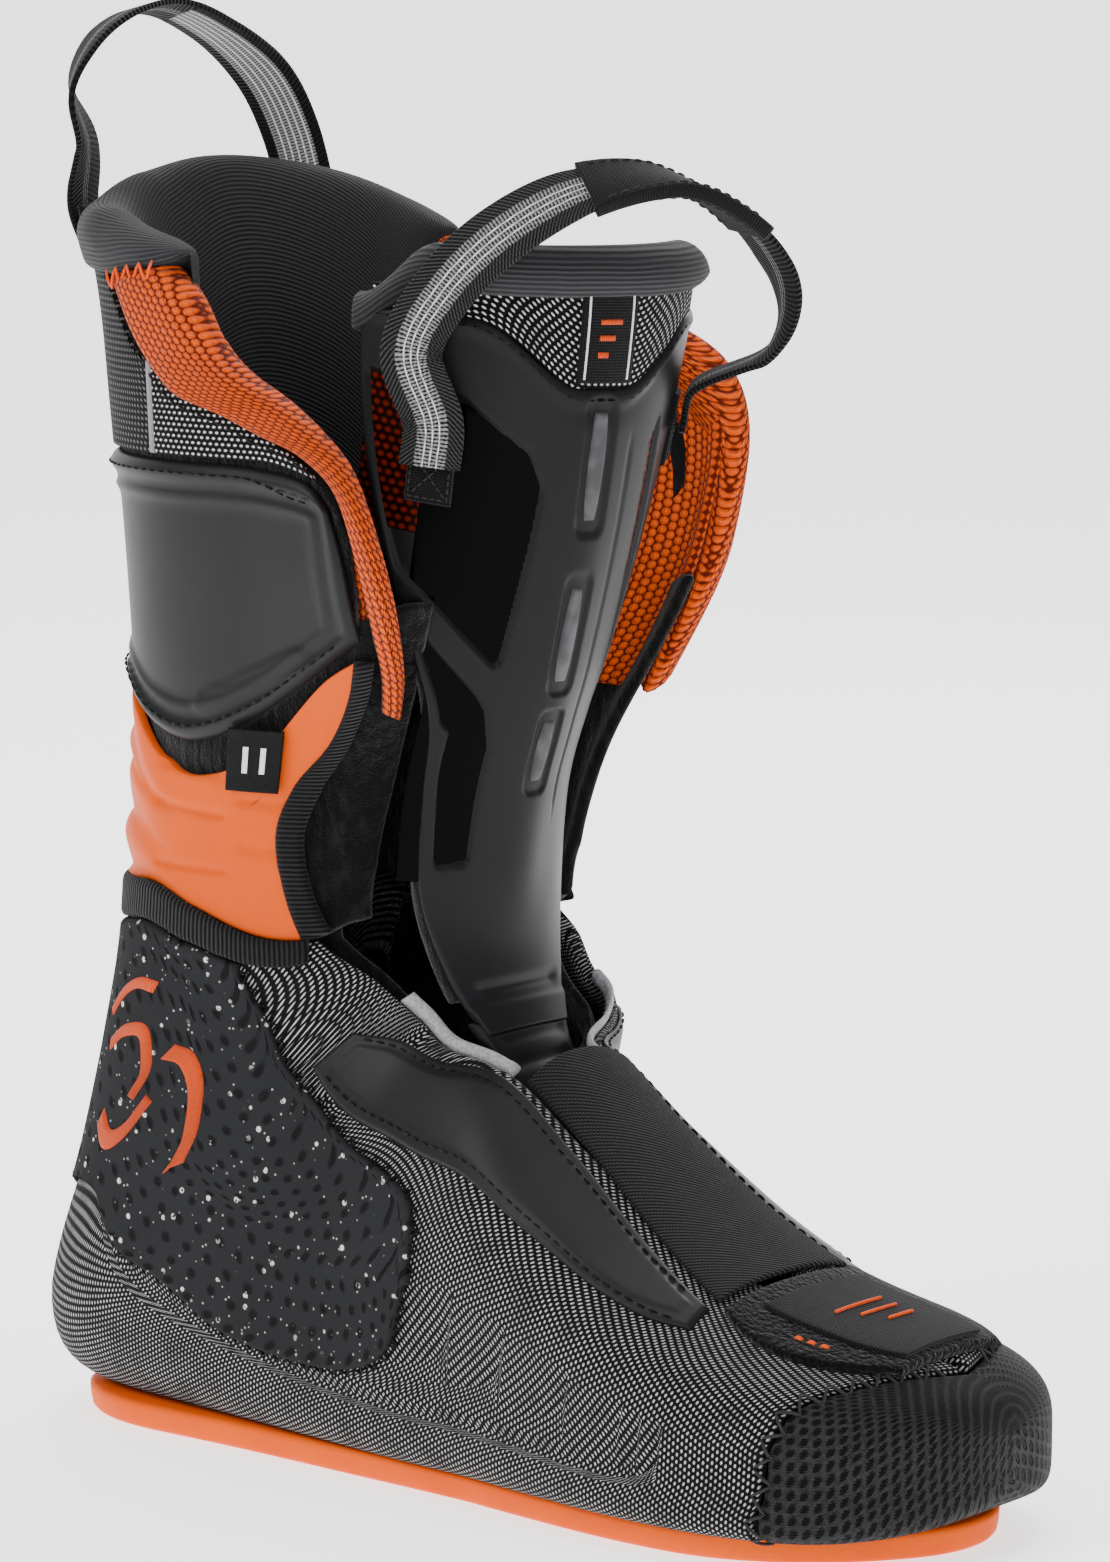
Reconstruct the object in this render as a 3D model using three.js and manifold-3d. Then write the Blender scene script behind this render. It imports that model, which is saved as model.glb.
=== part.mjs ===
// Inner boot (liner) of a ski-touring boot, right foot.
// Millimetres. +X points to the toe, +Y to the inner side of the foot, +Z up.
import * as THREE from 'three';
import { mergeVertices } from 'three/addons/utils/BufferGeometryUtils.js';
import Module from 'manifold-3d';

const wasm = await Module();
wasm.setup();

// ---------------------------------------------------------------- sizes
const TOE_X = 283; // front of the toe; the heel is near x = 0
const ANKLE_X = 150; // line that the ankle sections fan out from
const ANKLE_Z = 150;
const RIM_Z = 322; // top of the rear collar
const SOLE_THICK = 5; // outsole
const FIT = 0.3; // clearance between pieces that touch
const EASE = 0.8; // clearance between soft layers
const FOOT_WALL = 5; // knit upper with its foam
const SKIN = 1.3; // moulded and knit skins on the cuff and heel
const TAPE = 1; // woven tapes and labels
const CUFF_FOAM = 6.5;
const FLEX_WALL = 2.2; // elastic ankle panel
const LINING = 3.6; // fleece sleeve behind the ankle panel
const ROLL = 3; // how far the padded edges stand off the skins
const FOOTBED = 4;
const BINDING_WIDTH = 0.055; // in stations
const TONGUE_SHELL = 2.2;
const TONGUE_FOAM = 6;
const TONGUE_BASE = 4;
const STRAP_WIDTH = 15;
const STRAP_THICK = 1.6;
const STRAP_LIFT = 1.2; // air under a strap's ends
const INSERT_WIDTH = 7; // bars let into the middle of the tongue
const FLEX_GAP = 1.6; // slot between the tongue and its base

const FOOT_IN = FOOT_WALL;
const CUFF_OUT = SKIN + EASE;
const CUFF_IN = CUFF_OUT + CUFF_FOAM;
const SHELL_Z = SOLE_THICK + FIT;

// ---------------------------------------------------------------- section tables
// A station g runs 0 toe, 1 ankle line, 2 level with the ankle line, 3 rim.
const smooth = (x) => {
  const c = Math.min(Math.max(x, 0), 1);
  return c * c * (3 - 2 * c);
};
const mix = (a, b, t) => a + (b - a) * t;

function table(rows) {
  const x = rows.map((r) => r[0]);
  const y = rows.map((r) => r[1]);
  const last = rows.length - 1;
  const slope = rows.map((_, i) => {
    const a = Math.max(i - 1, 0);
    const b = Math.min(i + 1, last);
    return (y[b] - y[a]) / (x[b] - x[a]);
  });
  return (v) => {
    const q = Math.min(Math.max(v, x[0]), x[last]);
    let i = 0;
    while (i < last - 1 && q > x[i + 1]) i += 1;
    const h = x[i + 1] - x[i];
    const t = (q - x[i]) / h;
    const t2 = t * t;
    const t3 = t2 * t;
    return (2 * t3 - 3 * t2 + 1) * y[i] + (t3 - 2 * t2 + t) * h * slope[i]
      + (3 * t2 - 2 * t3) * y[i + 1] + (t3 - t2) * h * slope[i + 1];
  };
}

// x of the back of the heel and shaft
const backX = table([[1.42, -5], [1.556, -4], [1.589, 0], [1.633, 8], [1.678, 13.5], [1.756, 20],
  [1.867, 26], [2, 28], [2.145, 30], [2.29, 30], [2.465, 29], [2.64, 26.5], [2.814, 23], [2.99, 14]]);
// distance of the instep and of the section's middle from the ankle line
const instep = table([[0, 106], [0.1, 104], [0.25, 101], [0.436, 94], [0.624, 80], [0.812, 60],
  [1, 40], [1.333, 36], [1.667, 34], [2, 30], [2.145, 22], [2.29, 12], [2.465, 2], [2.64, -6],
  [2.814, -12], [3.02, -16]]);
const middle = table([[0, 124], [0.1, 124], [0.25, 122], [0.436, 118], [0.624, 112], [0.812, 104],
  [1, 98], [1.222, 102], [1.511, 120], [1.667, 106], [1.833, 88], [2, 78], [2.145, 74], [2.29, 70],
  [2.465, 66], [2.64, 63], [2.814, 61], [3.02, 60]]);
const widthOut = table([[0, 36], [0.1, 41], [0.25, 48], [0.436, 52], [0.624, 52], [0.812, 49],
  [1, 45], [1.167, 42], [1.333, 39], [1.511, 38], [1.667, 38], [1.833, 39], [2, 40], [2.145, 42],
  [2.29, 46], [2.465, 50], [2.64, 53], [2.814, 55], [3.02, 56]]);
const widthIn = table([[0, 38], [0.1, 42], [0.25, 46], [0.436, 47], [0.624, 45], [0.812, 41],
  [1, 38], [1.167, 37], [1.333, 36], [1.511, 36], [1.667, 38], [1.833, 39], [2, 40], [2.145, 42],
  [2.29, 45], [2.465, 49], [2.64, 52], [2.814, 54], [3.02, 55]]);
const squareLow = table([[0, 6], [0.2, 8], [1, 8], [1.222, 6], [1.389, 4.2], [1.511, 3.2], [1.6, 2.6],
  [1.75, 2.3], [3.02, 2.3]]);
const squareHigh = table([[0, 2.6], [0.436, 2.4], [1, 2.2], [3.02, 2.2]]);

// A point of the boot at station g and angle a (degrees), depth mm inside the outer surface.
// a = 0 is the sole or the back, 180 the instep or front, negative the outer side of the foot.
function boot(g, a, depth) {
  const near = smooth((0.34 - g) / 0.34) * depth;
  const reach = TOE_X - ANKLE_X;
  const fwd = g < 1 ? reach * (1 - g) - near : 0;
  const gg = g < 1 ? Math.min(1 - fwd / reach, 1) : g;
  const th = Math.min(Math.max(gg - 1, 0), 1) * Math.PI / 2;
  const rise = Math.max(gg - 2, 0) * (RIM_Z - ANKLE_Z);
  const ca = Math.cos(a * Math.PI / 180);
  const sa = Math.sin(a * Math.PI / 180);
  const down = (ANKLE_Z - SHELL_Z) / Math.max(Math.cos(th), 1e-3);
  const back = (ANKLE_X - backX(gg)) / Math.max(Math.sin(th), 1e-3);
  const outer = (down ** -14 + back ** -14) ** (-1 / 14);
  const mid = middle(gg);
  const low = Math.abs(a) <= 90;
  const n = 2 / (low ? squareLow(gg) : squareHigh(gg));
  const tip = Math.max(1 - g / 0.34, 0);
  const close = Math.max(1 - tip ** 3.2, 0) ** (1 / 2.4);
  const half = low ? outer - mid - depth : mid - instep(gg) - depth;
  const wide = (a < 0 ? widthOut(gg) : widthIn(gg)) - depth;
  let p = (low ? 1 : -1) * half * Math.abs(ca) ** n;
  p *= low ? 0.35 + 0.65 * close : 0.2 + 0.8 * close;
  let y = Math.sign(sa) * wide * Math.abs(sa) ** n * close;
  y += Math.max(1 - g / 0.45, 0) ** 1.5 * 6;
  let x = ANKLE_X - (mid + p) * Math.sin(th) + fwd;
  const open = a < 0 ? smooth((gg - 2.1) / 0.35)
    : 0.75 * smooth((gg - 0.95) / 0.5) + 0.25 * smooth((gg - 2.1) / 0.35);
  const flare = smooth((Math.abs(a) - 95) / 45) * open;
  y += flare * (a < 0 ? -11 : 30);
  x += flare * (a < 0 ? 8 : 20);
  return new THREE.Vector3(x, y, ANKLE_Z - (mid + p) * Math.cos(th) + rise);
}

// ---------------------------------------------------------------- tongue surface
// u runs along the tongue: 0 under the instep band, 5 at the ankle crease, 13 the top.
const tongueX = table([[0, 225], [1, 200], [2, 175], [3, 158], [4, 146], [5, 140], [6, 139.5],
  [7, 143], [8, 148], [9, 153], [10, 160], [11, 165], [12, 168], [13, 169], [14, 169.5]]);
const tongueZ = table([[0, 45], [1, 59], [2, 77], [3, 92], [4, 108], [5, 126], [6, 145], [7, 168],
  [8, 185], [9, 202], [10, 233], [11, 263], [12, 285], [13, 301], [14, 316]]);
const tongueR = table([[0, 40], [2, 40], [4, 55], [5, 60], [6, 52], [7, 45], [9, 46], [13, 50]]);
const tongueTurn = table([[0, 0], [6, 0], [8, 2], [9, 5], [10, 10], [11, 14], [12, 16], [13, 17]]);
const tongueHalf = table([[0, 12], [1, 14], [2, 15], [3, 14.5], [4, 16], [5, 24], [6, 31], [7, 33],
  [8, 35], [9, 39], [10, 44], [11, 48], [12, 51], [13, 51]]);
// the outer wing wraps further round the leg
const tongueWing = table([[0, 12], [1, 14], [2, 15], [3, 14.5], [4, 16], [5, 24], [6, 31], [7, 33],
  [8, 36], [9, 44], [10, 58], [11, 66], [12, 68], [13, 68]]);

// A point at station u, w mm round from the middle line, depth mm behind the front surface.
function tongue(u, w, depth) {
  const e = 0.01;
  const tx = tongueX(u + e) - tongueX(u - e);
  const tz = tongueZ(u + e) - tongueZ(u - e);
  const len = Math.hypot(tx, tz);
  const nx = tz / len;
  const nz = -tx / len;
  const r = tongueR(u);
  const b = w / r;
  const f = (r - depth) * Math.cos(b) - r;
  const s = (r - depth) * Math.sin(b);
  const turn = tongueTurn(u) * Math.PI / 180;
  const ff = f * Math.cos(turn) + s * Math.sin(turn);
  const ss = s * Math.cos(turn) - f * Math.sin(turn);
  return new THREE.Vector3(tongueX(u) + nx * ff, ss, tongueZ(u) + nz * ff);
}

// ---------------------------------------------------------------- solids
function solid(positions, index) {
  const geo = new THREE.BufferGeometry();
  geo.setAttribute('position', new THREE.BufferAttribute(new Float32Array(positions), 3));
  geo.setIndex(index);
  const merged = mergeVertices(geo, 1e-4);
  const id = merged.index.array;
  const pos = merged.attributes.position;
  const kept = [];
  let volume = 0;
  const a = new THREE.Vector3();
  const b = new THREE.Vector3();
  const c = new THREE.Vector3();
  for (let i = 0; i < id.length; i += 3) {
    if (id[i] === id[i + 1] || id[i + 1] === id[i + 2] || id[i] === id[i + 2]) continue;
    kept.push(id[i], id[i + 1], id[i + 2]);
    a.fromBufferAttribute(pos, id[i]);
    b.fromBufferAttribute(pos, id[i + 1]);
    c.fromBufferAttribute(pos, id[i + 2]);
    volume += a.dot(b.cross(c));
  }
  if (volume < 0) kept.reverse();
  merged.setIndex(kept);
  return merged;
}

// Levels along one side of a panel, with its share of the thickness at each.
// A rounded end tapers over the fraction given.
function levels(count, startRound, endRound) {
  const list = [];
  if (startRound > 0) list.push([0, 0.35], [startRound * 0.3, 0.75]);
  const a = startRound;
  const b = 1 - endRound;
  for (let i = 0; i <= count; i += 1) list.push([mix(a, b, i / count), 1]);
  if (endRound > 0) list.push([1 - endRound * 0.3, 0.75], [1, 0.35]);
  return list;
}

const asFunction = (v) => (typeof v === 'function' ? v : () => v);

// A closed panel between two depths of a surface. path(s, t) gives the surface coordinates.
function panel(surface, path, o) {
  const rows = levels(o.rows, ...(o.roundS ?? [0, 0]));
  const cols = levels(o.cols, ...(o.roundT ?? [0, 0]));
  const outer = asFunction(o.outer);
  const inner = asFunction(o.inner);
  const n = rows.length;
  const m = cols.length;
  const at = [];
  for (const side of [0, 1]) {
    for (const [s, fs] of rows) {
      for (const [t, ft] of cols) {
        const [p, q] = path(s, t);
        const share = Math.min(fs, ft);
        const half = (inner(s, t) - outer(s, t)) / 2;
        const centre = (inner(s, t) + outer(s, t)) / 2;
        at.push(...surface(p, q, centre + (side ? half : -half) * share).toArray());
      }
    }
  }
  const id = (side, i, j) => side * n * m + i * m + (o.ring ? j % (m - 1) : j);
  const index = [];
  const quad = (a, b, c, d) => index.push(a, b, c, a, c, d);
  for (let i = 0; i < n - 1; i += 1) {
    for (let j = 0; j < m - 1; j += 1) {
      quad(id(0, i, j), id(0, i + 1, j), id(0, i + 1, j + 1), id(0, i, j + 1));
      quad(id(1, i, j), id(1, i, j + 1), id(1, i + 1, j + 1), id(1, i + 1, j));
    }
  }
  for (let j = 0; j < m - 1; j += 1) {
    if (!o.pole) quad(id(0, 0, j), id(0, 0, j + 1), id(1, 0, j + 1), id(1, 0, j));
    quad(id(0, n - 1, j), id(1, n - 1, j), id(1, n - 1, j + 1), id(0, n - 1, j + 1));
  }
  if (!o.ring) {
    for (let i = 0; i < n - 1; i += 1) {
      quad(id(0, i, 0), id(1, i, 0), id(1, i + 1, 0), id(0, i + 1, 0));
      quad(id(0, i, m - 1), id(0, i + 1, m - 1), id(1, i + 1, m - 1), id(1, i, m - 1));
    }
  }
  return solid(at, index);
}

// A smooth line through chosen surface coordinates, walked at an even pace.
function line(points) {
  const curve = new THREE.CatmullRomCurve3(points.map(([g, a]) => new THREE.Vector3(g * 60, a, 0)));
  curve.arcLengthDivisions = 120;
  return (t) => {
    const p = curve.getPointAt(Math.min(Math.max(t, 0), 1));
    return [p.x / 60, p.y];
  };
}

// A patch between a first and a last line, with shaped sides where they are given.
function between(first, last, sideA, sideB) {
  const c00 = first(0);
  const c01 = first(1);
  const c10 = last(0);
  const c11 = last(1);
  return (s, t) => {
    const f = first(t);
    const l = last(t);
    const a = sideA ? sideA(s) : [mix(c00[0], c10[0], s), mix(c00[1], c10[1], s)];
    const b = sideB ? sideB(s) : [mix(c01[0], c11[0], s), mix(c01[1], c11[1], s)];
    return [0, 1].map((k) => mix(f[k], l[k], s) + mix(a[k], b[k], t)
      - mix(mix(c00[k], c01[k], t), mix(c10[k], c11[k], t), s));
  };
}

const flip = (path) => (s, t) => {
  const [g, a] = path(s, t);
  return [g, -a];
};

// One piece that runs round the back: the outer half from its own path, the inner from another.
const around = (outerHalf, innerHalf) => (s, t) => (t < 0.5
  ? outerHalf(s, 1 - 2 * t) : innerHalf(s, 2 * t - 1));

function toManifold(geometry) {
  return new wasm.Manifold(new wasm.Mesh({
    numProp: 3,
    vertProperties: new Float32Array(geometry.attributes.position.array),
    triVerts: new Uint32Array(geometry.index.array),
  }));
}

function fromManifold(body) {
  const mesh = body.getMesh();
  return solid(mesh.vertProperties, Array.from(mesh.triVerts));
}

const cut = (geometry, tools) => fromManifold(
  tools.reduce((body, tool) => body.subtract(toManifold(tool)), toManifold(geometry)),
);

// A flat strap along points, its width lying along the given directions.
function strap(points, across, o) {
  const path = new THREE.CatmullRomCurve3(points.map((p) => new THREE.Vector3(...p)));
  const lay = new THREE.CatmullRomCurve3(across.map((p) => new THREE.Vector3(...p)));
  const at = [];
  const count = o.steps;
  for (let i = 0; i <= count; i += 1) {
    const t = mix(o.from ?? 0, o.to ?? 1, i / count);
    const p = path.getPointAt(t);
    const along = path.getTangentAt(t);
    const w = lay.getPoint(t);
    w.addScaledVector(along, -w.dot(along)).normalize();
    const up = along.clone().cross(w);
    for (const [a, b] of [[-1, -1], [1, -1], [1, 1], [-1, 1]]) {
      at.push(...p.clone().addScaledVector(w, a * o.width / 2)
        .addScaledVector(up, b * o.thick / 2).toArray());
    }
  }
  const index = [];
  for (let i = 0; i < count; i += 1) {
    for (let k = 0; k < 4; k += 1) {
      const a = i * 4 + k;
      const b = i * 4 + (k + 1) % 4;
      index.push(a, b, b + 4, a, b + 4, a + 4);
    }
  }
  const e = count * 4;
  index.push(0, 2, 1, 0, 3, 2, e, e + 1, e + 2, e, e + 2, e + 3);
  return solid(at, index);
}

// ---------------------------------------------------------------- scene
const looks = {
  sole: ['#f2741d', 0.6], knit: ['#2a2a2c', 0.9], toe: ['#1b1b1d', 0.85], foam: ['#333436', 0.9],
  orange: ['#f47a12', 0.7], panel: ['#3f4043', 0.6], mesh: ['#222224', 0.9], fleece: ['#151516', 1],
  tape: ['#161617', 0.8], shell: ['#39393b', 0.45], film: ['#0b0b0c', 0.15], insert: ['#6f7072', 0.5],
  webbing: ['#4a4b4d', 0.8], plush: ['#8a8b8d', 1], thread: ['#e86a1a', 0.7], bed: ['#55565a', 0.9],
};
const liner = new THREE.Group();
function add(name, look, geometry) {
  const [color, roughness] = looks[look];
  const material = new THREE.MeshStandardMaterial({ color, roughness, metalness: 0 });
  const mesh = new THREE.Mesh(geometry, material);
  mesh.name = name;
  liner.add(mesh);
}

// ---------------------------------------------------------------- foot
const GAP = 0.008; // a clearance counted in stations

// top edge of the foot, at angle a
const ankleTop = (a) => 1.955 - 0.175 * smooth((Math.abs(a) - 60) / 72) ** 1.3;
// half angle of the wall that is left beside the throat, at station g
const throat = table([[0.36, 179.4], [0.44, 178], [0.55, 168], [0.8, 161], [0.94, 157], [1.2, 151],
  [1.415, 152], [1.6, 147], [1.78, 131]]);
// back edge of the toe cap
const capEdge = table([[0, 0.29], [79, 0.276], [96, 0.251], [121, 0.226], [142, 0.168], [166, 0.11],
  [180, 0.085]]);

function soleOutline(inset, heelInset = inset) {
  const front = [];
  const backEdge = [];
  const heelX = -3 + heelInset;
  const toeX = TOE_X - 4 - inset;
  const steps = 18;
  for (let i = 0; i <= steps; i += 1) {
    const x = mix(heelX, toeX, (1 - Math.cos(Math.PI * i / steps)) / 2);
    const g = x > ANKLE_X ? (TOE_X - x) / (TOE_X - ANKLE_X)
      : 1 + Math.atan((ANKLE_X - x) / (ANKLE_Z - SHELL_Z)) * 2 / Math.PI;
    const heel = Math.max(1 - Math.max((48 - x) / (48 - heelX), 0) ** 2.3, 0) ** 0.47;
    const toe = Math.max(1 - Math.max((x - toeX + 62) / 62, 0) ** 2.7, 0) ** 0.45;
    const shift = Math.max(1 - g / 0.45, 0) ** 1.5 * 6;
    const ends = heel * toe;
    front.push(new THREE.Vector2(x, shift - (widthOut(g) * 0.95 - inset) * ends));
    backEdge.unshift(new THREE.Vector2(x, shift + (widthIn(g) * 0.95 - inset) * ends));
  }
  return [...front, ...backEdge.slice(1, -1)];
}

function layered(rings) {
  const count = rings[0].points.length;
  const at = [];
  rings.forEach(({ points, z }) => points.forEach((p) => at.push(p.x, p.y, z)));
  const index = [];
  for (let k = 0; k < rings.length - 1; k += 1) {
    for (let i = 0; i < count; i += 1) {
      const a = k * count + i;
      const b = k * count + (i + 1) % count;
      index.push(a, b, b + count, a, b + count, a + count);
    }
  }
  const top = (rings.length - 1) * count;
  for (const [a, b, c] of THREE.ShapeUtils.triangulateShape(rings[0].points, [])) index.push(a, c, b);
  for (const [a, b, c] of THREE.ShapeUtils.triangulateShape(rings.at(-1).points, [])) {
    index.push(top + a, top + b, top + c);
  }
  return solid(at, index);
}

add('outsole', 'sole', layered([
  { points: soleOutline(2.6), z: 0 },
  { points: soleOutline(0.6), z: 1.3 },
  { points: soleOutline(0), z: SOLE_THICK },
]));
const bedZ = SHELL_Z + FOOT_WALL + 2.5 * EASE;
add('footbed', 'bed', layered([
  { points: soleOutline(FOOT_WALL + 15, FOOT_WALL + 23), z: bedZ },
  { points: soleOutline(FOOT_WALL + 12, FOOT_WALL + 20), z: bedZ + FOOTBED },
]));

// closer rows round the heel's lower corner
const footRows = [0.36, 0.5, 0.65, 0.8, 0.95, 1.1, 1.22, 1.32, 1.4, 1.45, 1.49, 1.52, 1.55, 1.6, 1.66];
const topRows = 4;
const footPath = (s, t) => {
  const side = 2 * t - 1;
  const i = Math.round(s * (footRows.length + topRows));
  let g = footRows[i - 1];
  if (i === 0) g = capEdge(Math.abs(side) * 180) + GAP;
  if (i > footRows.length) g = mix(footRows.at(-1), ankleTop(side * 131), (i - footRows.length) / topRows);
  return [g, side * throat(g)];
};
add('foot_shell', 'knit', panel(boot, footPath,
  { rows: footRows.length + topRows, cols: 28, outer: 0, inner: FOOT_IN }));
add('toe_cap', 'toe', panel(boot, (s, t) => {
  const a = t * 360 - 180;
  return [(capEdge(Math.abs(a)) - GAP / 2) * s ** 1.6, a];
}, { rows: 6, cols: 28, outer: 0, inner: FOOT_IN, ring: true, pole: true }));

const onFoot = { outer: -EASE - SKIN, inner: -EASE };
const BAND_LIFT = 1.5;
const overThroat = { outer: -BAND_LIFT - SKIN, inner: -BAND_LIFT };
const bindingFoot = (a) => ankleTop(a) - BINDING_WIDTH;
const padLow = line([[1.64, 0], [1.63, -35], [1.604, -68], [1.541, -77], [1.453, -82], [1.346, -80],
  [1.195, -83], [1.06, -91]]);
const padTop = (t) => [bindingFoot(107 * t) - GAP, -107 * t];
const padFront = line([[1.06, -91], [1.1, -109], [1.296, -115], [1.465, -120], [1.63, -117],
  padTop(1)]);
const padHalf = between(padLow, padTop, null, padFront);
add('heel_pad', 'foam', panel(boot, around(padHalf, flip(padHalf)), { rows: 8, cols: 24, ...onFoot }));

const patchLow = line([[1.5, -124], [1.352, -121], [1.201, -120], [1.063, -119], [0.775, -123],
  [0.559, -130], [0.47, -138]]);
const patchHigh = line([[1.5, -136], [1.377, -143], [1.176, -145], [0.942, -153], [0.792, -155],
  [0.63, -154], [0.476, -151]]);
const patchPath = between(patchLow, patchHigh);
const patchSize = { rows: 3, cols: 14, ...onFoot };
add('instep_patch_outer', 'panel', panel(boot, patchPath, patchSize));
// the inner patch is shorter: it ends where the ankle opening starts to spread
const patchFront = (s, t) => patchPath(s, mix(0.62, 1, t));
add('instep_patch_inner', 'panel', panel(boot, flip(patchFront), patchSize));

const bandSide = (g) => patchHigh((1.5 - g) / 1.024)[1];
add('instep_band', 'mesh', panel(boot, (s, t) => {
  const g = mix(0.47, 0.94, s);
  const side = 180 + bandSide(g) - 1.2;
  return [g, 180 + side * (1 - 2 * t)];
}, { rows: 8, cols: 10, ...overThroat }));

add('loop_patch', 'fleece', panel(boot, (s, t) => {
  const g = mix(0.13, 0.455, s);
  const side = 37 * Math.sin(Math.PI * mix(0.2, 0.72, s)) ** 0.8;
  return [g, 180 + side * (2 * t - 1)];
}, { rows: 6, cols: 10, ...overThroat }));
const tabDepth = -BAND_LIFT - FIT - SKIN;
add('toe_tab', 'tape', panel(boot, (s, t) => [mix(0.15, 0.4, s), mix(163, 200, t)],
  { rows: 4, cols: 4, outer: tabDepth - 1.2, inner: tabDepth }));

const facing = (s, t) => {
  const g = mix(1.18, 1.5, t);
  return [g, -throat(g) - mix(1.2, 4, s)];
};
const facingSize = { rows: 1, cols: 6, outer: 0.5, inner: FOOT_WALL - 2 };
add('throat_facing_outer', 'plush', panel(boot, facing, facingSize));
add('throat_facing_inner', 'plush', panel(boot, flip(facing), facingSize));

// raised bars sewn on the heel
const threadDepth = -EASE - SKIN - 0.5;
const onPad = { outer: threadDepth - 0.8, inner: threadDepth };
const bar = (points, wide) => {
  const path = line(points);
  return (s, t) => {
    const [g, a] = path(t);
    const [g2, a2] = path(Math.min(t + 0.02, 1));
    const [g1, a1] = path(Math.max(t - 0.02, 0));
    const len = Math.hypot((g2 - g1) * 190, (a2 - a1) * 0.75) || 1;
    const off = wide * (s - 0.5);
    return [g + off * ((a2 - a1) * 0.75 / len) / 190, a - off * ((g2 - g1) * 190 / len) / 0.75];
  };
};
add('heel_bar_long', 'thread', panel(boot,
  bar([[1.685, -91], [1.655, -96], [1.61, -98], [1.565, -96], [1.54, -91]], 4), { rows: 1, cols: 8, ...onPad }));
add('heel_bar_top', 'thread', panel(boot,
  bar([[1.775, -58], [1.795, -66], [1.8, -75], [1.785, -84]], 4), { rows: 1, cols: 6, ...onPad }));
add('heel_bar_mid', 'thread', panel(boot,
  bar([[1.735, -62], [1.742, -72], [1.72, -83], [1.68, -85], [1.655, -80]], 4), { rows: 1, cols: 8, ...onPad }));
add('heel_bar_low', 'thread', panel(boot,
  bar([[1.66, -65], [1.63, -72], [1.625, -80], [1.64, -87]], 4), { rows: 1, cols: 6, ...onPad }));

add('binding_ankle', 'tape', panel(boot, (s, t) => {
  const a = mix(-128, 128, t);
  return [mix(bindingFoot(a), ankleTop(a), s), a];
}, { rows: 1, cols: 24, ...onFoot }));

// ---------------------------------------------------------------- ankle
// lower edge of the cuff
const cuffLow = table([[0, 2.25], [40, 2.24], [66, 2.185], [85, 2.17], [102, 2.21], [115, 2.265],
  [130, 2.335], [142, 2.36]]);
// front border of the elastic panel
const borderOf = line([[1.79, -127], [1.88, -122], [1.969, -117.5], [2.056, -113.5], [2.118, -117],
  [2.195, -127], [2.26, -130], [2.315, -130]]);
const ankleGap = 0.008;
const flexHalf = between((t) => [ankleTop(127 * t) + ankleGap, -127 * t],
  (t) => [cuffLow(131 * t) - ankleGap, -131 * t], null, borderOf);
// soft folds across the back
const folds = (s, t) => {
  const a = Math.abs(2 * t - 1) * 129;
  const fold = Math.abs(Math.sin(Math.PI * (s * 3.5 - 0.2))) * smooth((0.95 - s) / 0.3);
  return -2.4 * fold * smooth((62 - a) / 40);
};
add('flex_panel', 'orange', panel(boot, around(flexHalf, flip(flexHalf)), {
  rows: 12, cols: 24, outer: folds, inner: (s, t) => folds(s, t) + FLEX_WALL,
}));
const sleeveDepth = FLEX_WALL + EASE;
const sleeveTop = (a) => mix(cuffLow(Math.abs(a)), 2.205, smooth((Math.abs(a) - 118) / 14)) - ankleGap;
add('ankle_lining', 'fleece', panel(boot, (s, t) => {
  const a = mix(-150, 150, t);
  const fold = Math.min(ankleTop(a), 1.79 + 0.0001) + ankleGap;
  const low = Math.abs(a) < 127 ? ankleTop(a) + ankleGap : fold + smooth((Math.abs(a) - 131) / 12) * 0.02;
  return [mix(low, sleeveTop(a), s), a];
}, { rows: 8, cols: 28, outer: sleeveDepth, inner: sleeveDepth + LINING }));
const borderPath = (s, t) => {
  const [g, a] = borderOf(t);
  return [g, a - mix(1, mix(8, 2.5, smooth((g - 2.1) / 0.12)), s)];
};
const borderSize = { rows: 1, cols: 14, outer: -0.6, inner: FLEX_WALL - 0.4 };
add('binding_front_outer', 'tape', panel(boot, borderPath, borderSize));
add('binding_front_inner', 'tape', panel(boot, flip(borderPath), borderSize));

// ---------------------------------------------------------------- cuff
// where the skins end and the padded edge starts, outer side of the foot
const edgeIn = line([[2.845, -60], [2.74, -70], [2.68, -80], [2.655, -90], [2.625, -100],
  [2.6, -110], [2.55, -119], [2.456, -126], [2.35, -133], [2.29, -137], [2.235, -139]]);
const edgeOut = line([[2.86, -78], [2.815, -85], [2.745, -91], [2.71, -97], [2.68, -105],
  [2.64, -114], [2.585, -123], [2.48, -132], [2.37, -139.5], [2.28, -144], [2.225, -145]]);
// the same on the inner side, where the rim stands higher
const edgeInM = line([[2.845, 64], [2.83, 78], [2.805, 90], [2.77, 102], [2.73, 112], [2.675, 121],
  [2.6, 130], [2.5, 134], [2.4, 136], [2.31, 137.5], [2.235, 139]]);
const edgeOutM = line([[2.885, 82], [2.87, 92], [2.84, 102], [2.805, 111], [2.765, 119], [2.71, 129],
  [2.63, 137], [2.52, 142.5], [2.4, 145], [2.3, 146], [2.225, 146]]);

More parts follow.
